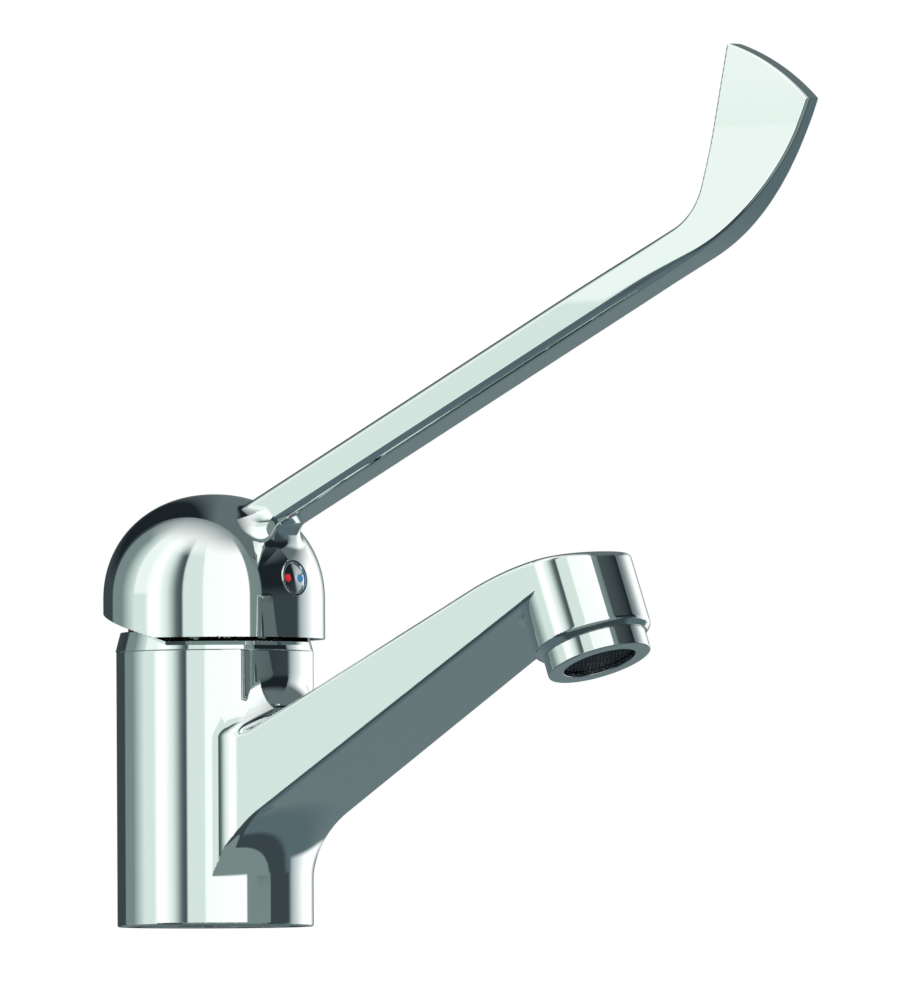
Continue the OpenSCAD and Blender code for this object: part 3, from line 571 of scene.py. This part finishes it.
def contour(field, low, high, step):
    """Vertices, quads and corner normals of the field's zero surface."""
    low, high = np.array(low, float), np.array(high, float)
    start, axis, a, b, dims = crossings(field, low, high, step)
    points = edge_points(field, low, step, start, axis, a, b)
    normals = gradient(field, points)
    eye = np.eye(3, dtype=np.int64)
    around = ((0, 0), (1, 0), (1, 1), (0, 1))
    cells = np.stack([start - i * eye[(axis + 1) % 3] - j * eye[(axis + 2) % 3] for i, j in around], 1)
    key = (cells[..., 0] * dims[1] + cells[..., 1]) * dims[2] + cells[..., 2]
    unique, inverse = np.unique(key.ravel(), return_inverse=True)
    quads = inverse.reshape(-1, 4)
    count = len(unique)

    def gather(values):
        return np.bincount(quads.ravel(), np.repeat(values, 4), count)

    share = gather(np.ones(len(points)))
    mean = np.stack([gather(points[:, k]) for k in range(3)], 1) / share[:, None]
    normal = np.stack([gather(normals[:, k]) for k in range(3)], 1) / share[:, None]
    plane = np.einsum("ij,ij->i", normals, points)
    ata = np.empty((count, 3, 3))
    for i in range(3):
        for j in range(i, 3):
            ata[:, i, j] = ata[:, j, i] = gather(normals[:, i] * normals[:, j]) / share
    atb = np.stack([gather(normals[:, k] * plane) for k in range(3)], 1) / share[:, None]
    rhs = atb - np.einsum("ijk,ik->ij", ata, mean)
    shift = np.linalg.solve(ata + CORNER_PULL * np.eye(3), rhs[..., None])[..., 0]
    corner = np.empty((count, 3))
    corner[:, 2] = unique % dims[2]
    corner[:, 1] = unique // dims[2] % dims[1]
    corner[:, 0] = unique // dims[2] // dims[1]
    corner = low + corner * step
    verts = np.clip(mean + shift, corner, corner + step)
    smooth = np.linalg.norm(normal, axis=1) > SMOOTH_ABOVE
    distance = evaluate(field, verts[smooth])
    slope = gradient(field, verts[smooth])
    most = LARGEST_NUDGE * step
    verts[smooth] -= slope * np.clip(distance, -most, most)[:, None]
    flip = a >= 0
    quads[flip] = quads[flip][:, ::-1]
    vertex_normals = np.zeros((count, 3))
    vertex_normals[smooth] = gradient(field, verts[smooth])
    corner_normals = vertex_normals[quads]
    rough = ~smooth[quads]
    centres = verts[quads].mean(1)
    inset = verts[quads] * (1 - CORNER_INSET) + centres[:, None] * CORNER_INSET
    corner_normals[rough] = gradient(field, inset[rough])
    return verts, quads, corner_normals


def side_to_world(points):
    """From u, y and z in millimetres to the frame's metres."""
    return np.stack((points[..., 1], -points[..., 0], points[..., 2]), -1) * MM


def link(obj, body, nodes, material):
    """Puts a piece on its body in place of its CAD nodes."""
    bpy.context.scene.collection.objects.link(obj)
    obj.data.materials.append(material)
    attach(obj, body)
    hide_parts(*nodes)


def mesh_object(name, verts, faces, loop_normals=None, vertex_normals=None):
    mesh = bpy.data.meshes.new(name)
    mesh.from_pydata(verts, [], faces)
    mesh.polygons.foreach_set("use_smooth", [True] * len(mesh.polygons))
    if loop_normals is not None:
        mesh.normals_split_custom_set(loop_normals)
    if vertex_normals is not None:
        mesh.normals_split_custom_set_from_vertices(vertex_normals)
    mesh.update()
    return bpy.data.objects.new(name, mesh)


def cast_piece(name, field, box):
    verts, quads, normals = contour(field, *box, MESH_STEP * (1))
    world_normals = np.stack((normals[..., 1], -normals[..., 0], normals[..., 2]), -1)
    return mesh_object(name, side_to_world(verts).tolist(), quads.tolist(),
                       world_normals.reshape(-1, 3).tolist())


# Turned pieces

def turned_profile(corners):
    """Points and normals round a closed profile whose corners (r, z, fillet) are rounded."""
    out = []
    n = len(corners)
    for i in range(n):
        prev, here, after = (np.array(corners[(i + d) % n][:2], float) for d in (-1, 0, 1))
        fillet = corners[i][2]
        d_in = (here - prev) / np.linalg.norm(here - prev)
        d_out = (after - here) / np.linalg.norm(after - here)
        turn = math.atan2(d_in[0] * d_out[1] - d_in[1] * d_out[0], d_in @ d_out)
        leg = fillet * math.tan(abs(turn) / 2)
        n_in = np.array((d_in[1], -d_in[0]))
        side = 1 if turn > 0 else -1
        centre = here - leg * d_in - side * fillet * n_in
        for k in range(CORNER_STEPS + 1):
            angle = turn * k / CORNER_STEPS
            c, s = math.cos(angle), math.sin(angle)
            normal = np.array((n_in[0] * c - n_in[1] * s, n_in[0] * s + n_in[1] * c))
            out.append((centre + side * fillet * normal, normal))
    return out


def turned_piece(name, corners, place, segments=TURN_SEGMENTS):
    """Revolves a rounded profile about the local Z axis; place takes local points to u, y, z."""
    profile = turned_profile(corners)
    verts, normals = [], []
    for i in range(segments):
        c, s = math.cos(2 * math.pi * i / segments), math.sin(2 * math.pi * i / segments)
        for point, normal in profile:
            verts.append((point[0] * c, point[0] * s, point[1]))
            normals.append((normal[0] * c, normal[0] * s, normal[1]))
    m = len(profile)
    faces = [(i * m + j, (i + 1) % segments * m + j, (i + 1) % segments * m + (j + 1) % m,
              i * m + (j + 1) % m) for i in range(segments) for j in range(m)]
    verts = place(np.array(verts))
    turned = place(np.array(normals)) - place(np.zeros((1, 3)))
    return mesh_object(name, side_to_world(verts).tolist(), faces,
                       vertex_normals=(side_to_world(turned) / MM).tolist())


def upright(points):
    """Local Z is the tap's own axis."""
    return points


def on_outlet(points):
    """Local Z runs up into the spout from the outlet's rim."""
    c, s = cosd(OUTLET_TILT), sind(OUTLET_TILT)
    u = OUTLET[0] + points[:, 0] * c - points[:, 2] * s
    z = OUTLET[1] + points[:, 0] * s + points[:, 2] * c
    return np.stack((u, points[:, 1], z), 1)


def on_plug(points):
    """Local Z runs out along the set screw's axis; local X points down."""
    c, s = cosd(PLUG_TILT), sind(PLUG_TILT)
    u = points[:, 2] * c + points[:, 0] * s
    z = SCREW_AXIS_Z + points[:, 2] * s - points[:, 0] * c
    return np.stack((u, points[:, 1], z), 1)


# Materials

RELIEF_SCALE = 1500.0
RELIEF_DEPTH = 0.0001


def new_material(name, colour, roughness, metallic=0.0, spread=0.03, scale=400.0, rough_spread=0.03,
                 bump=0.0, stretch=(1, 1, 1), coat=0.0):
    """A surface whose colour, gloss and relief vary with fine noise laid out in the object's metres."""
    material = bpy.data.materials.new(name)
    material.use_nodes = True
    nodes, links = material.node_tree.nodes, material.node_tree.links
    shader = nodes["Principled BSDF"]
    shader.inputs["Metallic"].default_value = metallic
    shader.inputs["Coat Weight"].default_value = coat
    place = nodes.new("ShaderNodeTexCoord")
    mapping = nodes.new("ShaderNodeMapping")
    mapping.inputs["Scale"].default_value = stretch
    links.new(place.outputs["Object"], mapping.inputs["Vector"])

    def noise(size, detail):
        node = nodes.new("ShaderNodeTexNoise")
        node.inputs["Scale"].default_value = size
        node.inputs["Detail"].default_value = detail
        links.new(mapping.outputs["Vector"], node.inputs["Vector"])
        return node.outputs["Fac"]

    def spread_to(source, low, high):
        node = nodes.new("ShaderNodeMapRange")
        node.inputs["From Min"].default_value = 0.3
        node.inputs["From Max"].default_value = 0.7
        node.inputs["To Min"].default_value = low
        node.inputs["To Max"].default_value = high
        links.new(source, node.inputs["Value"])
        return node.outputs["Result"]

    tone = nodes.new("ShaderNodeMixRGB")
    tone.inputs["Color1"].default_value = (*[c * (1 - spread) for c in colour], 1)
    tone.inputs["Color2"].default_value = (*[min(1.0, c * (1 + spread)) for c in colour], 1)
    links.new(noise(scale, 3.0), tone.inputs["Fac"])
    links.new(tone.outputs["Color"], shader.inputs["Base Color"])
    links.new(spread_to(noise(scale * 2.3, 4.0), roughness, roughness + rough_spread),
              shader.inputs["Roughness"])
    if bump:
        relief = nodes.new("ShaderNodeBump")
        relief.inputs["Strength"].default_value = bump
        relief.inputs["Distance"].default_value = RELIEF_DEPTH
        links.new(noise(RELIEF_SCALE, 2.0), relief.inputs["Height"])
        links.new(relief.outputs["Normal"], shader.inputs["Normal"])
    return material


CHROME = (0.90, 0.93, 0.92)


def make_materials():
    def chrome(name, tint=1.0):
        return new_material(name, [c * tint for c in CHROME], 0.02, 1.0, spread=0.006, scale=60.0,
                            rough_spread=0.02)
    return {
        "chrome_body": chrome("polished_chrome_body"),
        "chrome_lever": chrome("polished_chrome_lever"),
        "chrome_trim": chrome("polished_chrome_trim"),
        "chrome_aerator": chrome("polished_chrome_aerator", 0.97),
        "chrome_plug": chrome("polished_chrome_plug"),
        "black_rubber": new_material("black_rubber", (0.05, 0.05, 0.055), 0.6, bump=0.3),
        "brass": new_material("turned_brass", (0.72, 0.53, 0.26), 0.25, 1.0, stretch=(1, 1, 30), bump=0.2),
        "steel": new_material("turned_steel", (0.6, 0.62, 0.63), 0.22, 1.0, stretch=(20, 1, 1), bump=0.15),
        "dark_steel": new_material("woven_wire", (0.13, 0.14, 0.15), 0.3, 1.0),
        "white_plastic": new_material("white_acetal", (0.86, 0.86, 0.83), 0.4, bump=0.2),
        "grey_plastic": new_material("grey_acetal", (0.5, 0.52, 0.53), 0.42, bump=0.2),
        "black_plastic": new_material("black_acetal", (0.03, 0.03, 0.033), 0.45, bump=0.2),
        "red_plastic": new_material("red_acetal", (0.7, 0.12, 0.1), 0.4, bump=0.2),
        "ceramic": new_material("lapped_ceramic", (0.85, 0.83, 0.78), 0.15, spread=0.02, coat=0.2),
        "red_mark": new_material("red_enamel", (0.80, 0.012, 0.028), 0.3, spread=0.04),
        "blue_mark": new_material("blue_enamel", (0.05, 0.30, 0.62), 0.3, spread=0.04),
    }


# Small pieces

def tube_mesh(paths, radius):
    """Closed round wires along point lists, in local millimetres."""
    sides = WIRE_SIDES
    verts, faces = [], []
    for path in paths:
        path = np.array(path, float)
        ahead = np.gradient(path, axis=0)
        ahead /= np.linalg.norm(ahead, axis=1, keepdims=True)
        up = np.array((0.0, 0.0, 1.0))
        first = len(verts)
        for point, direction in zip(path, ahead):
            across = np.cross(direction, up)
            across /= np.linalg.norm(across)
            rise = np.cross(across, direction)
            for k in range(sides):
                a = 2 * math.pi * k / sides
                verts.append(point + radius * (math.cos(a) * across + math.sin(a) * rise))
        for i in range(len(path) - 1):
            for k in range(sides):
                a, b = first + i * sides + k, first + i * sides + (k + 1) % sides
                faces.append((a, a + sides, b + sides, b))
        last = first + (len(path) - 1) * sides
        faces.append(tuple(first + k for k in range(sides)))
        faces.append(tuple(last + k for k in reversed(range(sides))))
    return np.array(verts), faces


def make_screen():
    """The aerator's woven wire screen, turned diagonally in its ring."""
    pitch, r = WIRE_PITCH, MESH_R - MESH_RIM
    centre_z = -AERATOR_DROP + AERATOR_LIP_H + MESH_RISE
    turned = math.sqrt(0.5)
    lines = []
    count = int(r / pitch)
    for family in (0, 1):
        for i in range(-count, count + 1):
            across = i * pitch
            half = math.sqrt(max(r * r - across * across, 0.0))
            if half < 2 * pitch:
                continue
            steps = max(WIRE_STEPS, int(2 * half / pitch * WIRE_STEPS))
            line = []
            for k in range(steps + 1):
                run = -half + 2 * half * k / steps
                wave = WIRE_WAVE * math.cos(math.pi * (run / pitch + i + family))
                x, y = (run, across) if family == 0 else (across, run)
                line.append(((x - y) * turned, (x + y) * turned, centre_z + wave))
            lines.append(line)
    verts, faces = tube_mesh(lines, WIRE_R)
    return mesh_object("aerator_screen", side_to_world(on_outlet(verts)).tolist(), faces)


def make_body(m):
    body = cast_piece("body_shell", body_field, BODY_BOX)
    link(body, "fixed_body", ["body_casting"], m["chrome_body"])


def make_lever(m):
    lever = cast_piece("lever_shell", lever_field, LEVER_BOX)
    link(lever, "handle", ["lever_handle"], m["chrome_lever"])


def make_trim_ring(m):
    top = BODY_H + TRIM_H
    trim = turned_piece("trim_ring_turned", [
        (TRIM_BORE_R, BODY_H, 0.1), (TRIM_LOW_R, BODY_H, 0.12), (TRIM_TOP_R, top, 0.25),
        (TRIM_BORE_R, top, 0.2)], upright)
    link(trim, "fixed_body", ["trim_ring"], m["chrome_trim"])


def make_aerator(m):
    rim, ledge = -AERATOR_DROP, -AERATOR_DROP + AERATOR_LIP_H
    ring = turned_piece("aerator_ring", [
        (MESH_R, rim, 0.25), (AERATOR_R, rim, 0.35), (AERATOR_R, -AERATOR_GAP, 0.1),
        (AERATOR_SHANK_R, -AERATOR_GAP, 0.05), (AERATOR_SHANK_R, AERATOR_SHANK_H, 0.3),
        (AERATOR_BORE_R, AERATOR_SHANK_H, 0.3), (AERATOR_BORE_R, ledge, 0.05), (MESH_R, ledge, 0.1)],
        on_outlet)
    link(ring, "fixed_body", ["aerator_housing"], m["chrome_aerator"])
    link(make_screen(), "fixed_body", ["aerator_mesh"], m["dark_steel"])


def make_plug(m):
    """The index plug with its thin lip and slightly coned face."""
    back, under, top = PLUG_RUN - PLUG_DEPTH, PLUG_RUN - PLUG_LIP_DEPTH, PLUG_RUN + PLUG_LIP
    plug = turned_piece("index_plug_turned", [
        (AXIS_R, back, 0.0), (PLUG_R, back, 0.2), (PLUG_R, under, 0.0), (PLUG_LIP_R, under, 0.0),
        (PLUG_LIP_R, top, 0.1), (PLUG_FACE_R, top, 0.08),
        (PLUG_FACE_LOW_R, PLUG_RUN - PLUG_FACE_DEPTH, 0.05), (AXIS_R, PLUG_RUN - PLUG_FACE_TOP, 0.0)],
        on_plug)
    link(plug, "handle", ["index_plug"], m["chrome_plug"])


def make_dot(m, name, node, side):
    def place(points):
        return on_plug(points + np.array((0, side * DOT_OFFSET, 0)))

    back = PLUG_RUN - DOT_DEPTH
    dot = turned_piece(name + "_dot", [
        (AXIS_R, back, 0.0), (DOT_R, back, 0.05), (DOT_R, PLUG_RUN - DOT_EDGE_DEPTH, 0.1),
        (AXIS_R, PLUG_RUN - DOT_TOP_DEPTH, 0.0)], place, DOT_SEGMENTS)
    slot = name + "_mark"
    link(dot, "handle", [node], m[slot])


def dress_solids(m):
    """Gives the CAD's own solids that stay their materials."""
    slots = {s["node"]: s["material_slot"] for s in frame["record"]["subparts"]}
    for node, obj in frame["nodes"].items():
        if not obj.hide_render:
            obj.data.materials.clear()
            obj.data.materials.append(m[slots[node]])


# Studio

def glossy_only(obj):
    for name in ("camera", "diffuse", "transmission", "volume_scatter", "shadow"):
        setattr(obj, "visible_" + name, False)


def emission_material(name, build):
    """A glowing surface; build links up its colour and strength."""
    material = bpy.data.materials.new(name)
    material.use_nodes = True
    material.cycles.emission_sampling = "NONE"
    nodes, links = material.node_tree.nodes, material.node_tree.links
    nodes.clear()
    out = nodes.new("ShaderNodeOutputMaterial")
    glow = nodes.new("ShaderNodeEmission")
    links.new(glow.outputs["Emission"], out.inputs["Surface"])
    build(nodes, links, glow)
    return material


NEAR_BLACK = (0.012, 0.018, 0.022)
SLATE = (0.045, 0.062, 0.072)
DARK_GREY = (0.13, 0.165, 0.17)
MID_GREY = (0.20, 0.262, 0.257)
COOL_GREY = (0.40, 0.47, 0.49)
PALE_GREEN = (0.72, 0.84, 0.79)
SOFT_WHITE = (1.02, 1.08, 1.05)
WHITE = (1.12, 1.14, 1.14)
FLOOR_GREY = (0.10, 0.148, 0.165)
STEEL_GREY = (0.16, 0.21, 0.22)
BORDER_GREY = (0.22, 0.27, 0.265)

# The screen's tones at the tap's own level, by degrees round the tap
LEVEL_TONES = (
    (-180, DARK_GREY), (-170, SLATE), (-132, SLATE), (-130.5, MID_GREY), (-112, MID_GREY),
    (-91, PALE_GREEN), (-77, PALE_GREEN), (-71, WHITE), (-62, WHITE), (-50, PALE_GREEN),
    (-40, DARK_GREY), (-34, SLATE), (-32, PALE_GREEN), (-12, PALE_GREEN), (-11, SOFT_WHITE),
    (37, WHITE), (38, MID_GREY), (50, MID_GREY), (51, SLATE), (96, SLATE), (102, COOL_GREY),
    (126, WHITE), (150, WHITE), (165, MID_GREY), (180, DARK_GREY))

# The tones below the tap, by degrees away from a level line
BELOW_TONES = (
    (0, MID_GREY), (53, MID_GREY), (55, SLATE), (76, SLATE), (83, FLOOR_GREY), (110, FLOOR_GREY),
    (140, STEEL_GREY))
BELOW_LINE = 12
BELOW_FAR = 86
BELOW_LIFT = 0.22
BELOW_RANGE = (0.015, -0.05)

# Patches between two angles: the band at the foot, the near black above it, the glow at the left
FOOT_BAND = (49, 68)
FOOT_RANGE = (0.0245, 0.0243)
DEEP_BAND = (51, 98)
DEEP_RANGE = (0.04, 0.2)
GLOW_BAND = (-92, -70)
GLOW_RANGE = (0.089, 0.118)
GLOW_SHARE = 0.65

# The upper half: a light side and a dark side, parted by an upright plane that leans a little
PART_SCALE = 0.707
PART_LEAN = 0.035
PART_RANGE = (-0.005, 0.012)
LIGHT_FADE = (0.0, 0.6)
LIGHT_RANGE = (0.7, 0.93)
DARK_FADE = (-0.14, 0.04)
DARK_RANGE = (0.5, 0.7)
RIGHT_END, RIGHT_LIFT = 98, 0.2
LEFT_END, LEFT_LIFT = -128, 0.35


def studio_shell():
    """A big screen with softboxes and dark flags that only reflections see.

    Angles are measured round the tap from the direction of the camera, to its right. Heights are
    those of a direction one unit long.
    """
    mesh = bpy.data.meshes.new("studio_screen")
    rows, cols, r = SCREEN_ROWS, SCREEN_COLS, SCREEN_R
    verts = [(r * math.cos(math.pi * (i / rows - 0.5)) * math.cos(2 * math.pi * j / cols),
              r * math.cos(math.pi * (i / rows - 0.5)) * math.sin(2 * math.pi * j / cols),
              r * math.sin(math.pi * (i / rows - 0.5))) for i in range(rows + 1) for j in range(cols)]
    faces = [(i * cols + j, i * cols + (j + 1) % cols, (i + 1) * cols + (j + 1) % cols,
              (i + 1) * cols + j) for i in range(rows) for j in range(cols)]
    mesh.from_pydata(verts, [], faces)
    obj = bpy.data.objects.new("studio_screen", mesh)
    obj.rotation_euler = (0, 0, math.radians(SCREEN_TURN))
    bpy.context.scene.collection.objects.link(obj)

    def build(nodes, links, glow):
        place = nodes.new("ShaderNodeTexCoord")
        split = nodes.new("ShaderNodeSeparateXYZ")
        unit = nodes.new("ShaderNodeVectorMath")
        unit.operation = "NORMALIZE"
        links.new(place.outputs["Object"], unit.inputs[0])
        links.new(unit.outputs["Vector"], split.inputs["Vector"])

        def calc(operation, *values):
            node = nodes.new("ShaderNodeMath")
            node.operation = operation
            for socket, value in zip(node.inputs, values):
                if isinstance(value, (int, float)):
                    socket.default_value = value
                else:
                    links.new(value, socket)
            return node.outputs[0]

        def ramp(source, stops):
            node = nodes.new("ShaderNodeValToRGB")
            elements = node.color_ramp.elements
            while len(elements) > 1:
                elements.remove(elements[0])
            for i, (position, colour) in enumerate(stops):
                element = elements[0] if i == 0 else elements.new(position)
                element.position = position
                element.color = (*(c / SCREEN_GAIN for c in colour), 1)
            links.new(source, node.inputs["Fac"])
            return node.outputs["Color"]

        def mask(source, start, full):
            node = nodes.new("ShaderNodeMapRange")
            node.clamp = True
            node.inputs["From Min"].default_value = start
            node.inputs["From Max"].default_value = full
            links.new(source, node.inputs["Value"])
            return node.outputs["Result"]

        def mix(factor, first, second):
            node = nodes.new("ShaderNodeMixRGB")
            for socket, value in zip(node.inputs, (factor, first, second)):
                if isinstance(value, tuple):
                    socket.default_value = (*(c / SCREEN_GAIN for c in value), 1)
                else:
                    links.new(value, socket)
            return node.outputs["Color"]

        x, y, z = split.outputs["X"], split.outputs["Y"], split.outputs["Z"]
        turn = calc("DIVIDE", calc("ARCTAN2", y, x), math.pi)
        where = calc("ADD", calc("MULTIPLY", turn, 0.5), 0.5)

        def at(angle):
            return (angle + 180.0) / 360.0

        def between(start, end):
            past = calc("GREATER_THAN", where, at(start))
            return calc("MULTIPLY", past, calc("LESS_THAN", where, at(end)))

        low = ramp(where, [(at(angle), tone) for angle, tone in LEVEL_TONES])
        foot = calc("MULTIPLY", between(*FOOT_BAND), mask(z, *FOOT_RANGE))
        low = mix(foot, low, MID_GREY)
        deep = calc("MULTIPLY", between(*DEEP_BAND), mask(z, *DEEP_RANGE))
        low = mix(deep, low, NEAR_BLACK)
        bright = calc("MULTIPLY", between(*GLOW_BAND), mask(z, *GLOW_RANGE))
        low = mix(calc("MULTIPLY", bright, GLOW_SHARE), low, SOFT_WHITE)
        across = calc("MULTIPLY", calc("SUBTRACT", x, y), PART_SCALE)
        inward = calc("ADD", across, calc("MULTIPLY", z, PART_LEAN))
        light = mix(mask(inward, *LIGHT_FADE), BORDER_GREY, WHITE)
        light = mix(mask(z, *LIGHT_RANGE), low, light)
        dark = mix(mask(y, *DARK_FADE), NEAR_BLACK, DARK_GREY)
        right = calc("GREATER_THAN", where, at(RIGHT_END))
        left = calc("LESS_THAN", where, at(LEFT_END))
        height = calc("ADD", z, calc("MULTIPLY", right, RIGHT_LIFT))
        height = calc("ADD", height, calc("MULTIPLY", left, LEFT_LIFT))
        dark = mix(mask(height, *DARK_RANGE), low, dark)
        colour = mix(mask(inward, *PART_RANGE), dark, light)
        line = calc("ADD", calc("MULTIPLY", x, cosd(BELOW_LINE)), calc("MULTIPLY", y, sind(BELOW_LINE)))
        away = calc("ARCCOSINE", line)
        under = ramp(calc("DIVIDE", away, math.pi), [(angle / 180, tone) for angle, tone in BELOW_TONES])
        far_side = calc("GREATER_THAN", away, math.radians(BELOW_FAR))
        reach = calc("ADD", z, calc("MULTIPLY", far_side, BELOW_LIFT))
        colour = mix(mask(reach, *BELOW_RANGE), colour, under)
        links.new(colour, glow.inputs["Color"])
        glow.inputs["Strength"].default_value = SCREEN_GAIN

    mesh.materials.append(emission_material("studio_screen", build))
    glossy_only(obj)


def make_floor():
    """A pale floor, clear to a camera that looks up through it from below."""
    mesh = bpy.data.meshes.new("studio_floor")
    corners = ((-1, -1), (1, -1), (1, 1), (-1, 1))
    mesh.from_pydata([(x * FLOOR_HALF, y * FLOOR_HALF, FLOOR_Z) for x, y in corners], [], [(0, 1, 2, 3)])
    obj = bpy.data.objects.new("studio_floor", mesh)
    obj.visible_glossy = False
    bpy.context.scene.collection.objects.link(obj)
    material = bpy.data.materials.new("studio_floor")
    material.use_nodes = True
    nodes, links = material.node_tree.nodes, material.node_tree.links
    shader = nodes["Principled BSDF"]
    shader.inputs["Base Color"].default_value = (0.93, 0.935, 0.93, 1)
    shader.inputs["Roughness"].default_value = 0.9
    shader.inputs["Specular IOR Level"].default_value = 0.1
    clear = nodes.new("ShaderNodeBsdfTransparent")
    side = nodes.new("ShaderNodeNewGeometry")
    path = nodes.new("ShaderNodeLightPath")
    both = nodes.new("ShaderNodeMath")
    both.operation = "MULTIPLY"
    mixer = nodes.new("ShaderNodeMixShader")
    links.new(side.outputs["Backfacing"], both.inputs[0])
    links.new(path.outputs["Is Camera Ray"], both.inputs[1])
    links.new(both.outputs[0], mixer.inputs["Fac"])
    links.new(shader.outputs["BSDF"], mixer.inputs[1])
    links.new(clear.outputs["BSDF"], mixer.inputs[2])
    links.new(mixer.outputs["Shader"], nodes["Material Output"].inputs["Surface"])
    mesh.materials.append(material)


def make_light():
    """Even light from all round with one soft lamp; camera, gloss and glass see a white ground."""
    world = bpy.data.worlds.new("studio_world")
    bpy.context.scene.world = world
    world.use_nodes = True
    nodes, links = world.node_tree.nodes, world.node_tree.links
    background = nodes["Background"]
    background.inputs["Color"].default_value = (1, 1, 1, 1)
    path = nodes.new("ShaderNodeLightPath")
    seen = nodes.new("ShaderNodeMath")
    seen.operation = "MAXIMUM"
    seen_too = nodes.new("ShaderNodeMath")
    seen_too.operation = "MAXIMUM"
    strength = nodes.new("ShaderNodeMapRange")
    strength.inputs["To Min"].default_value = WORLD_LIGHT
    strength.inputs["To Max"].default_value = 1.0
    links.new(path.outputs["Is Camera Ray"], seen.inputs[0])
    links.new(path.outputs["Is Glossy Ray"], seen.inputs[1])
    links.new(seen.outputs[0], seen_too.inputs[0])
    links.new(path.outputs["Is Transmission Ray"], seen_too.inputs[1])
    links.new(seen_too.outputs[0], strength.inputs["Value"])
    links.new(strength.outputs["Result"], background.inputs["Strength"])
    lamp = bpy.data.lights.new("softbox", "AREA")
    lamp.shape = "DISK"
    lamp.size = LAMP_SIZE
    lamp.energy = LAMP_POWER
    obj = bpy.data.objects.new("softbox", lamp)
    obj.location = LAMP_PLACE
    obj.rotation_mode = "QUATERNION"
    obj.rotation_quaternion = (-Vector(obj.location)).to_track_quat("-Z", "Y")
    obj.visible_glossy = False
    bpy.context.scene.collection.objects.link(obj)


make_camera()
materials = make_materials()
make_body(materials)
make_lever(materials)
make_trim_ring(materials)
make_aerator(materials)
make_plug(materials)
make_dot(materials, "red", "hot_mark", -1)
make_dot(materials, "blue", "cold_mark", 1)
dress_solids(materials)
make_floor()
studio_shell()
make_light()
bpy.context.scene.view_settings.view_transform = "Standard"
